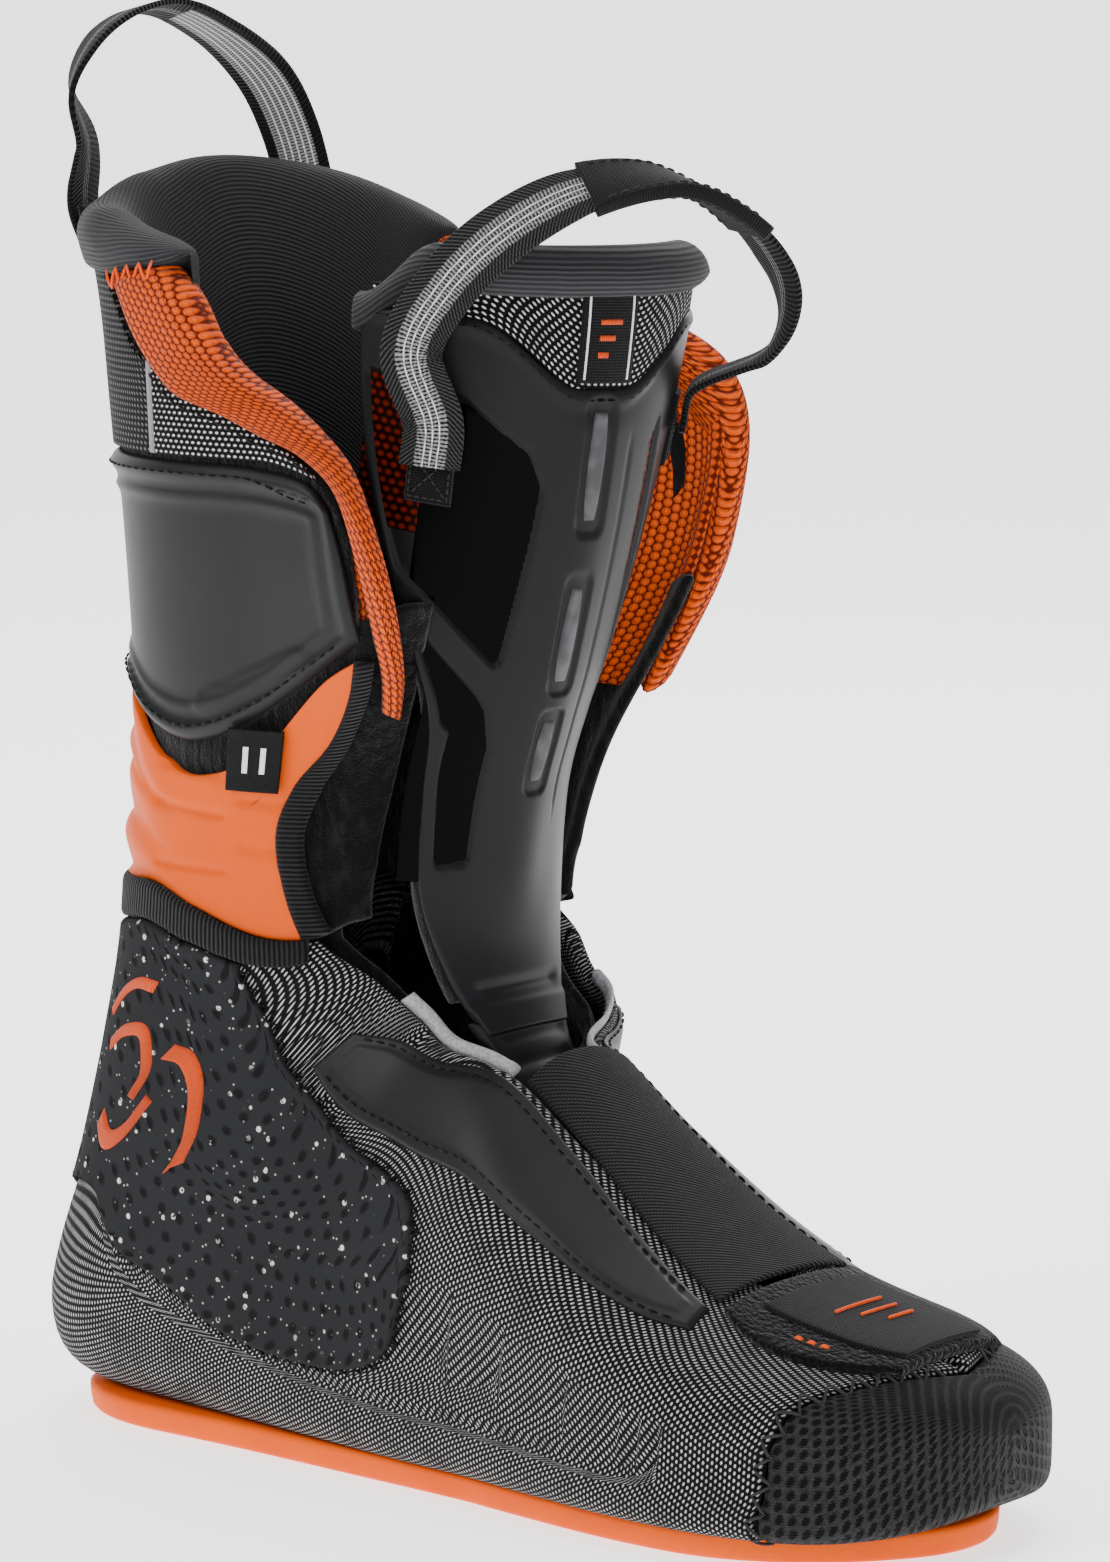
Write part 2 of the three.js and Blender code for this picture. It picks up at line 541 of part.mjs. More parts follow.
const BACK_TOP = 2.845; // level edge round the back
const foamTop = (edge, corner, share) => (t) => {
  if (t > 0.3) return edge(share * (t - 0.3) / 0.7);
  const a = corner * t / 0.3;
  return [BACK_TOP, a];
};
const cuffLowOf = (sign) => (t) => [cuffLow(130 * t) + ankleGap, sign * 130 * t];
const foamHalf = between(cuffLowOf(-1), foamTop(edgeIn, -60, 0.76));
const foamHalfM = between(cuffLowOf(1), foamTop(edgeInM, 64, 0.8));
add('cuff_foam', 'fleece', panel(boot, around(foamHalf, foamHalfM),
  { rows: 8, cols: 32, outer: CUFF_OUT, inner: CUFF_IN }));

const onCuff = { outer: 0, inner: SKIN };
const cuffPanelHalf = between(
  (t) => [cuffLow(130 * t) + ankleGap, -130 * t],
  line([[2.585, 0], [2.585, -40], [2.583, -80], [2.58, -100], [2.562, -113], [2.53, -118]]),
  null,
  line([[2.343, -130], [2.4, -126], [2.47, -122], [2.53, -118]]),
);
add('cuff_panel', 'panel', panel(boot, around(cuffPanelHalf, flip(cuffPanelHalf)),
  { rows: 6, cols: 28, ...onCuff }));

const above = 2.592;
const meshLow = (sign, from, to) => (t) => {
  const a = mix(from, to, t);
  return [above - smooth((a - 100) / 25) * 0.035, sign * a];
};
const meshSide = between(meshLow(-1, 74, 116), line([[2.712, -74], [2.672, -82], [2.648, -90],
  [2.618, -100], [2.592, -109], [2.565, -115.5]]));
add('mesh_panel_outer', 'mesh', panel(boot, meshSide, { rows: 3, cols: 8, ...onCuff }));
const meshSideM = between(meshLow(1, 74, 122), line([[2.822, 74], [2.8, 88], [2.76, 100],
  [2.715, 111], [2.65, 119], [2.575, 123]]));
add('mesh_panel_inner', 'mesh', panel(boot, meshSideM, { rows: 3, cols: 8, ...onCuff }));
const rearHalf = (sign) => (s, t) => {
  const a = 71 * t;
  const top = mix(2.83, sign < 0 ? 2.72 : 2.82, smooth((a - 52) / 19));
  return [mix(above, top, s), sign * a];
};
add('rear_panel', 'mesh', panel(boot, around(rearHalf(-1), rearHalf(1)),
  { rows: 4, cols: 16, ...onCuff }));
const piping = (sign, top) => (s, t) => [mix(above, top, t), sign * mix(71.8, 73.2, s)];
const pipingSize = { rows: 1, cols: 4, outer: -0.6, inner: SKIN };
add('piping_outer', 'tape', panel(boot, piping(-1, 2.71), pipingSize));
add('piping_inner', 'tape', panel(boot, piping(1, 2.815), pipingSize));

// padded edges: they wrap the foam's upper and front edges
// thinner at the lower front, where the tongue passes
const padWrap = {
  rows: 2, cols: 18, roundS: [0, 0.45], roundT: [0, 0.06],
  outer: -ROLL, inner: (s, t) => CUFF_IN + 1 - 5.9 * smooth((t - 0.58) / 0.2),
};
const shiftOff = (edge, off) => (t) => {
  const [g, a] = edge(t);
  return [g + off, a];
};
add('edge_pad_outer', 'orange', panel(boot, between(shiftOff(edgeIn, 0.009), edgeOut), padWrap));
add('edge_pad_inner', 'orange', panel(boot, between(shiftOff(edgeInM, 0.009), edgeOutM), padWrap));

const faceDepth = { outer: CUFF_IN + EASE, inner: CUFF_IN + EASE + 2 };
const faceSize = { rows: 3, cols: 8, ...faceDepth };
const faceSide = (edge, sign) => (s, t) => {
  const [g, a] = edge(mix(0.46, 0.92, t));
  return [g - 0.03, a - sign * mix(3, 26, s)];
};
add('flap_facing_outer', 'orange', panel(boot, faceSide(edgeIn, -1), faceSize));
add('flap_facing_inner', 'orange', panel(boot, faceSide(edgeInM, 1), faceSize));

// collar: thick roll round the back, and its lining down inside the cuff
const collarTop = table([[-78, 2.905], [-60, 2.925], [-40, 2.937], [-20, 2.948], [0, 2.975], [20, 2.992],
  [40, 2.988], [60, 2.967], [80, 2.925]]);
const collarLow = (a) => BACK_TOP + 0.012 + (a < 0
  ? 0.017 * smooth((-56 - a) / 20)
  : 0.036 * smooth((a - 62) / 18));
const collarPath = (s, t) => {
  const a = mix(-77, 80, t);
  return [mix(collarLow(a), collarTop(a), s), a];
};
add('collar', 'fleece', panel(boot, collarPath,
  { rows: 3, cols: 20, roundS: [0, 0.5], roundT: [0.06, 0.04], outer: -1.5, inner: CUFF_IN + 2.4 }));
add('collar_lining', 'fleece', panel(boot, (s, t) => {
  const a = mix(-68, 74, t);
  const top = a < -52 ? mix(2.83, 2.72, (-52 - a) / 16) : 2.83;
  return [mix(2.36, top, s), a];
}, { rows: 4, cols: 14, ...faceDepth }));

add('size_tag', 'tape', panel(boot, (s, t) => [mix(2.115, 2.2, s), -mix(96, 112, t)],
  { rows: 2, cols: 3, outer: -0.4 - TAPE, inner: -0.4 }));

// ---------------------------------------------------------------- tongue
const round = (u, inset, t) => mix(inset - tongueWing(u), tongueHalf(u) - inset, t);
const sweep = (u0, u1, inset) => (s, t) => {
  const u = mix(u0, u1, s);
  return [u, round(u, inset, t)];
};
// ankle crease, on the front surface
const CREASE_U = 4.45;
const creaseLow = CREASE_U - 0.05;
const creaseHigh = creaseLow + FLEX_GAP / 17;
add('tongue_base', 'shell', panel(tongue, sweep(0, creaseLow, 0),
  { rows: 7, cols: 6, outer: 0, inner: TONGUE_BASE }));

const shieldTop = (w) => 11.25 + 0.75 * smooth((Math.abs(w) - 6) / 30);
const shieldPath = (s, t) => {
  const u = mix(creaseHigh, shieldTop(mix(-63, 46, t)), s);
  return [u, round(u, 1.7 + 1.7 * smooth((u - 6) / 3), t)];
};
const through = { outer: -4, inner: TONGUE_SHELL + 3 };
const frame = { outer: 0.3, inner: TONGUE_SHELL - 0.9 };
// openings of the shield: [u, w] outlines given as low and high lines
const windowHigh = (sign, grow) => between(
  (t) => [mix(9.55, 10.15, t) - grow * 0.035, sign * mix(12 - grow, 36 + grow, t)],
  (t) => [mix(11.05, 11.3, t) + grow * 0.035, sign * mix(14 - grow, 37 + grow, t)],
);
const windowLow = (sign, grow) => between(
  (t) => [mix(6.9, 7.35, t) - grow * 0.05, sign * mix(13 - grow, 23 + grow, t)],
  (t) => [mix(9.1, 9.65, t) + grow * 0.04, sign * mix(12 - grow, 32 + grow, t)],
);
const slots = [[10.1, 11.05], [8.75, 9.65], [7.2, 8.2]];
const slotPath = ([low, high], grow) => (s, t) => {
  const end = Math.sin(Math.PI * mix(0.12, 0.88, s)) ** 0.35;
  return [mix(low, high, s) + (s - 0.5) * grow * 0.07, (INSERT_WIDTH / 2 + grow) * end * (2 * t - 1)];
};
const cutters = [];
for (const sign of [-1, 1]) {
  cutters.push(panel(tongue, windowHigh(sign, 0), { rows: 1, cols: 2, ...through }));
  cutters.push(panel(tongue, windowLow(sign, 0), { rows: 2, cols: 2, ...through }));
}
for (const slot of slots) cutters.push(panel(tongue, slotPath(slot, 0), { rows: 5, cols: 1, ...through }));
add('tongue_shield', 'shell', cut(
  panel(tongue, shieldPath, { rows: 14, cols: 12, outer: 0, inner: TONGUE_SHELL }), cutters,
));
for (const [sign, side] of [[-1, 'outer'], [1, 'inner']]) {
  add(`window_high_${side}`, 'film', panel(tongue, windowHigh(sign, -0.9), { rows: 1, cols: 2, ...frame }));
  add(`window_low_${side}`, 'film', panel(tongue, windowLow(sign, -0.9), { rows: 2, cols: 2, ...frame }));
}
slots.forEach((slot, i) => add(`shield_insert_${i + 1}`, 'insert',
  panel(tongue, slotPath(slot, -FIT), { rows: 5, cols: 1, outer: -0.3, inner: TONGUE_SHELL - 0.5 })));

const foamDepth = TONGUE_SHELL + FIT;
add('tongue_foam', 'fleece', panel(tongue, sweep(creaseHigh + 0.25, 12.15, 0.5),
  { rows: 12, cols: 12, outer: foamDepth, inner: foamDepth + TONGUE_FOAM }));
add('tongue_mesh', 'mesh', panel(tongue, (s, t) => {
  const w = mix(-65, 48, t);
  return [mix(shieldTop(mix(-63, 46, t)) + 0.05, 12.32, s), w];
}, { rows: 3, cols: 14, outer: 0, inner: TONGUE_SHELL }));
add('tongue_label', 'tape', panel(tongue, (s, t) => [mix(11.42, 12.3, s), 8 * (2 * t - 1)],
  { rows: 3, cols: 2, outer: -FIT - TAPE, inner: -FIT }));
const rollPath = (s, t) => {
  const w = mix(-67, 50, t);
  const drop = w < 0 ? smooth((-w - 42) / 25) : smooth((w - 32) / 18);
  return [mix(12.36, 13.1 - 0.35 * drop, s), w];
};
const rollDepth = { outer: -2.5, inner: foamDepth + TONGUE_FOAM + 1 };
add('tongue_roll', 'fleece', panel(tongue, rollPath,
  { rows: 2, cols: 20, roundS: [0.15, 0.45], roundT: [0.05, 0.05], ...rollDepth }));

// sewn patches that hold the pull loop, and the loop itself
const anchorU = [10.62, 10.9];
[-1, 1].forEach((sign, i) => add(`loop_patch_tongue_${sign < 0 ? 'outer' : 'inner'}`, 'tape',
  panel(tongue, (s, t) => [anchorU[i] + mix(-0.42, 0.16, s), sign * mix(37.6, 45.8, t)],
    { rows: 2, cols: 2, outer: -FIT - TAPE, inner: -FIT })));

const strapSize = { width: STRAP_WIDTH, thick: STRAP_THICK };
const off = FIT + TAPE + STRAP_LIFT + STRAP_THICK / 2;
// the direction across a strap that lies on a surface, and a point above it
const lieOn = (surface, p, q, step) => surface(p, q + step, 0).sub(surface(p, q - step, 0)).normalize();
const loopEnd = (i, w, du, lift) => tongue(anchorU[i] + du, w, -off - lift).toArray();
const loopFree = [[138, -39, 279], [145, -35, 294], [156, -27, 307], [170, -14, 317], [183, 3, 319],
  [192, 21, 309], [193, 36, 293], [183, 44, 277]];
const loopPath = [
  loopEnd(0, -41.5, -0.15, 0), loopEnd(0, -41.5, 0.2, 0.5), ...loopFree,
  loopEnd(1, 41.5, 0.2, 0.5), loopEnd(1, 41.5, -0.15, 0),
];
const liesA = lieOn(tongue, anchorU[0], -41.5, 2).toArray();
const liesB = lieOn(tongue, anchorU[1], 41.5, 2).toArray();
const loopAcross = [liesA, liesA, [0.8, 0.55, -0.1], [0.86, 0.45, -0.1], [0.95, 0.3, -0.2], [1, 0.1, -0.3],
  [1, -0.15, -0.3], [0.9, -0.4, 0], [0.7, -0.7, 0.05], liesB.map((v) => -v), liesB.map((v) => -v)];
add('tongue_loop', 'webbing', strap(loopPath, loopAcross, { ...strapSize, steps: 50 }));
const sleeveSize = { from: 0.42, to: 0.64, steps: 11 };
const sleeveHole = { from: 0.4, to: 0.66, steps: 13 };
add('loop_sleeve', 'tape', cut(
  strap(loopPath, loopAcross, { ...sleeveSize, width: STRAP_WIDTH + 2.6, thick: STRAP_THICK + 2.4 }),
  [strap(loopPath, loopAcross, { ...sleeveHole, width: STRAP_WIDTH + 2 * FIT, thick: STRAP_THICK + 2 * FIT })],
));

// rear pull loop and its sewn patches on the collar
const rearPatch = (a) => (s, t) => [mix(2.862, 2.925, s), a + mix(-9, 9, t)];
const rearOuter = -1.5 - FIT;
const rearAt = [-14, 47];
['outer', 'inner'].forEach((side, i) => add(`loop_patch_rear_${side}`, 'tape',
  panel(boot, rearPatch(rearAt[i]), { rows: 2, cols: 3, outer: rearOuter - TAPE, inner: rearOuter })));
const rearOff = rearOuter - TAPE - STRAP_LIFT - STRAP_THICK / 2;
const rearEnd = (a, g, lift) => boot(g, a, rearOff - lift).toArray();
// [x, y, height over the rim] where the rear loop stands free
const rearFree = [[17, -20, 3], [18, -26, 16], [19, -17, 30], [20, 4, 37], [24, 21, 31], [27, 37, 19], [29, 45, 5]];
const rearPath = [
  rearEnd(rearAt[0], 2.875, 0), rearEnd(rearAt[0], 2.925, 0.8),
  ...rearFree.map(([x, y, up]) => [x, y, RIM_Z + up]),
  rearEnd(rearAt[1], 2.935, 0.8), rearEnd(rearAt[1], 2.88, 0),
];
const rearA = lieOn(boot, 2.9, rearAt[0], 3).negate().toArray();
const rearB = lieOn(boot, 2.9, rearAt[1], 3).toArray();
const rearAcross = [rearA, rearA, [0.5, -0.85, 0], [0.8, -0.55, 0.1], [0.95, -0.25, 0.2], [1, 0, 0.2],
  [0.95, 0.25, 0.1], [0.82, 0.55, 0], [0.75, 0.65, 0], rearB, rearB];
add('rear_loop', 'webbing', strap(rearPath, rearAcross, { ...strapSize, steps: 24 }));

// ---------------------------------------------------------------- origin
// centred on its plan box, standing on the floor
liner.updateMatrixWorld(true);
const box = new THREE.Box3().setFromObject(liner);
liner.position.set(-(box.min.x + box.max.x) / 2, -(box.min.y + box.max.y) / 2, -box.min.z);

export default liner;
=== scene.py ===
# Looks of a ski-touring boot liner (inner boot), right foot.
# Shapes are worked out in millimetres in the liner's own frame, then moved to the row frame.
import math

import bmesh
import bpy
import numpy as np
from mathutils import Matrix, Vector


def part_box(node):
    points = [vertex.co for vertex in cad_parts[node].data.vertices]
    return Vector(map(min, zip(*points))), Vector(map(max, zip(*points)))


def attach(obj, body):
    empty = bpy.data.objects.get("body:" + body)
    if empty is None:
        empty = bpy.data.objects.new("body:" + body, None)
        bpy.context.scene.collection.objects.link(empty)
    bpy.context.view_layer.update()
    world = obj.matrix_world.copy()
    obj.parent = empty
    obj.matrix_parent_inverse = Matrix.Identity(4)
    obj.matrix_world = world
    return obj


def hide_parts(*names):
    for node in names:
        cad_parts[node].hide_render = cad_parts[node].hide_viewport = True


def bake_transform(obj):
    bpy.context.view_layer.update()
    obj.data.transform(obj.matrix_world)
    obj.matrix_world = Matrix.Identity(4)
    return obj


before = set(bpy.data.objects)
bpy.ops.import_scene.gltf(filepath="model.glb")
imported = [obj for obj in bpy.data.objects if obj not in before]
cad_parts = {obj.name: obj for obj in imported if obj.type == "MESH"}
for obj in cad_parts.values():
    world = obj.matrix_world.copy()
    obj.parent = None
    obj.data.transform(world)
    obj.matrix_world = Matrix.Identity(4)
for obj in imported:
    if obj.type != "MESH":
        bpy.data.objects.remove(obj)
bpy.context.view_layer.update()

# ---------------------------------------------------------------- sizes, as in part.mjs
ORIGIN = np.array((140.0, 6.298, 0.0))  # the row frame's origin, in the own frame
TOE_X = 283.0
ANKLE_X = 150.0
ANKLE_Z = 150.0
RIM_Z = 322.0
SHELL_Z = 5.3
BINDING_WIDTH = 0.055
GAP = 0.008


def smooth(x):
    c = np.clip(x, 0, 1)
    return c * c * (3 - 2 * c)


def mix(a, b, t):
    return a + (b - a) * t


def bell(x, width):
    return np.exp(-((x / width) ** 2))


def table(rows):
    """A smooth curve through rows of (x, y)."""
    x, y = np.array(rows, float).T
    last = len(x) - 1
    lo = np.maximum(np.arange(last + 1) - 1, 0)
    hi = np.minimum(np.arange(last + 1) + 1, last)
    slope = (y[hi] - y[lo]) / (x[hi] - x[lo])

    def at(v):
        q = np.clip(v, x[0], x[-1])
        i = np.clip(np.searchsorted(x, q, side="left") - 1, 0, last - 1)
        h = x[i + 1] - x[i]
        t = (q - x[i]) / h
        t2 = t * t
        t3 = t2 * t
        return (
            (2 * t3 - 3 * t2 + 1) * y[i]
            + (t3 - 2 * t2 + t) * h * slope[i]
            + (3 * t2 - 2 * t3) * y[i + 1]
            + (t3 - t2) * h * slope[i + 1]
        )

    return at


# ---------------------------------------------------------------- the boot's surface
# A station g runs 0 toe, 1 ankle line, 2 level with the ankle line, 3 rim.
BACK_X = table([(1.42, -5), (1.556, -4), (1.589, 0), (1.633, 8), (1.678, 13.5), (1.756, 20),
                (1.867, 26), (2, 28), (2.145, 30), (2.29, 30), (2.465, 29), (2.64, 26.5),
                (2.814, 23), (2.99, 14)])
INSTEP = table([(0, 106), (0.1, 104), (0.25, 101), (0.436, 94), (0.624, 80), (0.812, 60), (1, 40),
                (1.333, 36), (1.667, 34), (2, 30), (2.145, 22), (2.29, 12), (2.465, 2), (2.64, -6),
                (2.814, -12), (3.02, -16)])
MIDDLE = table([(0, 124), (0.1, 124), (0.25, 122), (0.436, 118), (0.624, 112), (0.812, 104),
                (1, 98), (1.222, 102), (1.511, 120), (1.667, 106), (1.833, 88), (2, 78),
                (2.145, 74), (2.29, 70), (2.465, 66), (2.64, 63), (2.814, 61), (3.02, 60)])
WIDTH_OUT = table([(0, 36), (0.1, 41), (0.25, 48), (0.436, 52), (0.624, 52), (0.812, 49), (1, 45),
                   (1.167, 42), (1.333, 39), (1.511, 38), (1.667, 38), (1.833, 39), (2, 40),
                   (2.145, 42), (2.29, 46), (2.465, 50), (2.64, 53), (2.814, 55), (3.02, 56)])
WIDTH_IN = table([(0, 38), (0.1, 42), (0.25, 46), (0.436, 47), (0.624, 45), (0.812, 41), (1, 38),
                  (1.167, 37), (1.333, 36), (1.511, 36), (1.667, 38), (1.833, 39), (2, 40),
                  (2.145, 42), (2.29, 45), (2.465, 49), (2.64, 52), (2.814, 54), (3.02, 55)])
SQUARE_LOW = table([(0, 6), (0.2, 8), (1, 8), (1.222, 6), (1.389, 4.2), (1.511, 3.2), (1.6, 2.6),
                    (1.75, 2.3), (3.02, 2.3)])
SQUARE_HIGH = table([(0, 2.6), (0.436, 2.4), (1, 2.2), (3.02, 2.2)])


def boot(g, a, depth):
    """Points at station g and angle a in degrees, depth mm inside the outer surface.
    a = 0 is the sole or the back, 180 the instep or front, negative the outer side."""
    g, a, depth = np.broadcast_arrays(*(np.asarray(v, float) for v in (g, a, depth)))
    near = smooth((0.34 - g) / 0.34) * depth
    reach = TOE_X - ANKLE_X
    fwd = np.where(g < 1, reach * (1 - g) - near, 0)
    gg = np.where(g < 1, np.minimum(1 - fwd / reach, 1), g)
    th = np.clip(gg - 1, 0, 1) * math.pi / 2
    rise = np.maximum(gg - 2, 0) * (RIM_Z - ANKLE_Z)
    ca = np.cos(np.radians(a))
    sa = np.sin(np.radians(a))
    down = (ANKLE_Z - SHELL_Z) / np.maximum(np.cos(th), 1e-3)
    back = (ANKLE_X - BACK_X(gg)) / np.maximum(np.sin(th), 1e-3)
    outer = (down ** -14.0 + back ** -14.0) ** (-1 / 14)
    mid = MIDDLE(gg)
    low = np.abs(a) <= 90
    n = 2 / np.where(low, SQUARE_LOW(gg), SQUARE_HIGH(gg))
    tip = np.maximum(1 - g / 0.34, 0)
    close = np.maximum(1 - tip ** 3.2, 0) ** (1 / 2.4)
    half = np.where(low, outer - mid - depth, mid - INSTEP(gg) - depth)
    wide = np.where(a < 0, WIDTH_OUT(gg), WIDTH_IN(gg)) - depth
    p = np.where(low, 1, -1) * half * np.abs(ca) ** n
    p = p * np.where(low, 0.35 + 0.65 * close, 0.2 + 0.8 * close)
    y = np.sign(sa) * wide * np.abs(sa) ** n * close
    y = y + np.maximum(1 - g / 0.45, 0) ** 1.5 * 6
    x = ANKLE_X - (mid + p) * np.sin(th) + fwd
    both = smooth((gg - 2.1) / 0.35)
    share = np.where(a < 0, both, 0.75 * smooth((gg - 0.95) / 0.5) + 0.25 * both)
    flare = smooth((np.abs(a) - 95) / 45) * share
    y = y + flare * np.where(a < 0, -11, 30)
    x = x + flare * np.where(a < 0, 8, 20)
    return np.stack((x, y, ANKLE_Z - (mid + p) * np.cos(th) + rise), -1)


# ---------------------------------------------------------------- the tongue's surface
# u runs along the tongue: 0 under the instep band, 5 at the ankle crease, 13 the top.
TONGUE_X = table([(0, 225), (1, 200), (2, 175), (3, 158), (4, 146), (5, 140), (6, 139.5),
                  (7, 143), (8, 148), (9, 153), (10, 160), (11, 165), (12, 168), (13, 169),
                  (14, 169.5)])
TONGUE_Z = table([(0, 45), (1, 59), (2, 77), (3, 92), (4, 108), (5, 126), (6, 145), (7, 168),
                  (8, 185), (9, 202), (10, 233), (11, 263), (12, 285), (13, 301), (14, 316)])
TONGUE_R = table([(0, 40), (2, 40), (4, 55), (5, 60), (6, 52), (7, 45), (9, 46), (13, 50)])
TONGUE_TURN = table([(0, 0), (6, 0), (8, 2), (9, 5), (10, 10), (11, 14), (12, 16), (13, 17)])
TONGUE_HALF = table([(0, 12), (1, 14), (2, 15), (3, 14.5), (4, 16), (5, 24), (6, 31), (7, 33),
                     (8, 35), (9, 39), (10, 44), (11, 48), (12, 51), (13, 51)])
TONGUE_WING = table([(0, 12), (1, 14), (2, 15), (3, 14.5), (4, 16), (5, 24), (6, 31), (7, 33),
                     (8, 36), (9, 44), (10, 58), (11, 66), (12, 68), (13, 68)])


def tongue(u, w, depth):
    """Points at station u, w mm round from the middle line, depth mm behind the front."""
    u, w, depth = np.broadcast_arrays(*(np.asarray(v, float) for v in (u, w, depth)))
    e = 0.01
    tx = TONGUE_X(u + e) - TONGUE_X(u - e)
    tz = TONGUE_Z(u + e) - TONGUE_Z(u - e)
    length = np.hypot(tx, tz)
    nx = tz / length
    nz = -tx / length
    r = TONGUE_R(u)
    f = (r - depth) * np.cos(w / r) - r
    s = (r - depth) * np.sin(w / r)
    turn = np.radians(TONGUE_TURN(u))
    ff = f * np.cos(turn) + s * np.sin(turn)
    ss = s * np.cos(turn) - f * np.sin(turn)
    return np.stack((TONGUE_X(u) + nx * ff, ss, TONGUE_Z(u) + nz * ff), -1)


# ---------------------------------------------------------------- paths over a surface
def spline(points, count=500):
    """Evenly paced points on a smooth curve through the given ones."""
    p = np.array(points, float)
    p = np.vstack((2 * p[0] - p[1], p, 2 * p[-1] - p[-2]))
    out = []
    for k in range(1, len(p) - 2):
        p0, p1, p2, p3 = p[k - 1 : k + 3]
        d0, d1, d2 = (max(np.sum((b - a) ** 2) ** 0.25, 1e-4) for a, b in ((p0, p1), (p1, p2), (p2, p3)))
        m1 = ((p1 - p0) / d0 - (p2 - p0) / (d0 + d1) + (p2 - p1) / d1) * d1
        m2 = ((p2 - p1) / d1 - (p3 - p1) / (d1 + d2) + (p3 - p2) / d2) * d1
        t = np.linspace(0, 1, 40, endpoint=False)[:, None]
        out.append(p1 + m1 * t + (3 * (p2 - p1) - 2 * m1 - m2) * t**2 + (2 * (p1 - p2) + m1 + m2) * t**3)
    out = np.vstack(out + [p[-2][None]])
    run = np.concatenate(([0], np.cumsum(np.linalg.norm(np.diff(out, axis=0), axis=1))))
    even = np.linspace(0, run[-1], count)
    return np.stack([np.interp(even, run, out[:, k]) for k in range(out.shape[1])], -1)


def line(points):
    """A smooth line through chosen (station, angle) pairs: line(t) gives both."""
    p = spline([(g * 60, a) for g, a in points])
    at = np.linspace(0, 1, len(p))
    return lambda t: (np.interp(t, at, p[:, 0]) / 60, np.interp(t, at, p[:, 1]))


def between(first, last, side_a=None, side_b=None):
    """A patch between a first and a last line, with shaped sides where they are given."""
    c00, c01, c10, c11 = first(0.0), first(1.0), last(0.0), last(1.0)

    def at(s, t):
        f, l = first(t), last(t)
        a = side_a(s) if side_a else [mix(c00[k], c10[k], s) for k in (0, 1)]
        b = side_b(s) if side_b else [mix(c01[k], c11[k], s) for k in (0, 1)]
        return [
            mix(f[k], l[k], s) + mix(a[k], b[k], t)
            - mix(mix(c00[k], c01[k], t), mix(c10[k], c11[k], t), s)
            for k in (0, 1)
        ]

    return at


def flip(path):
    def at(s, t):
        g, a = path(s, t)
        return g, -a

    return at


def around(outer_half, inner_half):
    """One piece round the back: the outer half from its own path, the inner from another."""

    def at(s, t):
        o = outer_half(s, np.clip(1 - 2 * t, 0, 1))
        i = inner_half(s, np.clip(2 * t - 1, 0, 1))
        return [np.where(t < 0.5, o[k], i[k]) for k in (0, 1)]

    return at


# ---------------------------------------------------------------- meshes
def to_row(points):
    return (np.asarray(points, float).reshape(-1, 3) - ORIGIN) * 0.001


def build(name, points, faces, weave=None):
    """A mesh object from points in mm. weave gives each face corner its place in mm on the cloth."""
    mesh = bpy.data.meshes.new(name)
    mesh.from_pydata(to_row(points).tolist(), [], [list(f) for f in faces])
    if weave is not None:
        layer = mesh.uv_layers.new(name="Weave")
        layer.data.foreach_set("uv", np.asarray(weave, np.float32).ravel())
    mesh.polygons.foreach_set("use_smooth", [True] * len(mesh.polygons))
    mesh.update()
    obj = bpy.data.objects.new(name, mesh)
    bpy.context.scene.collection.objects.link(obj)
    return obj


class Spots:
    """Where a piece's outer face is being shaped: s, t, stations p and q, and mm to its edge."""


def stops(length, step, r0, r1):
    """Places along one side, closer together where an edge is rounded."""
    turn = 1 - np.cos(np.linspace(0, math.pi / 2, 6))[:-1]
    middle = np.linspace(r0, length - r1, max(math.ceil((length - r0 - r1) / step), 2) + 1)
    head = r0 * turn if r0 else []
    tail = length - r1 * turn[::-1] if r1 else []
    return np.concatenate((head, middle, tail)) / length


def lengths(at, axis):
    """Running length along one axis of a grid of points."""
    step = np.linalg.norm(np.diff(at, axis=axis), axis=-1)
    start = np.zeros_like(np.take(step, [0], axis))
    return np.concatenate((start, np.cumsum(step, axis)), axis)


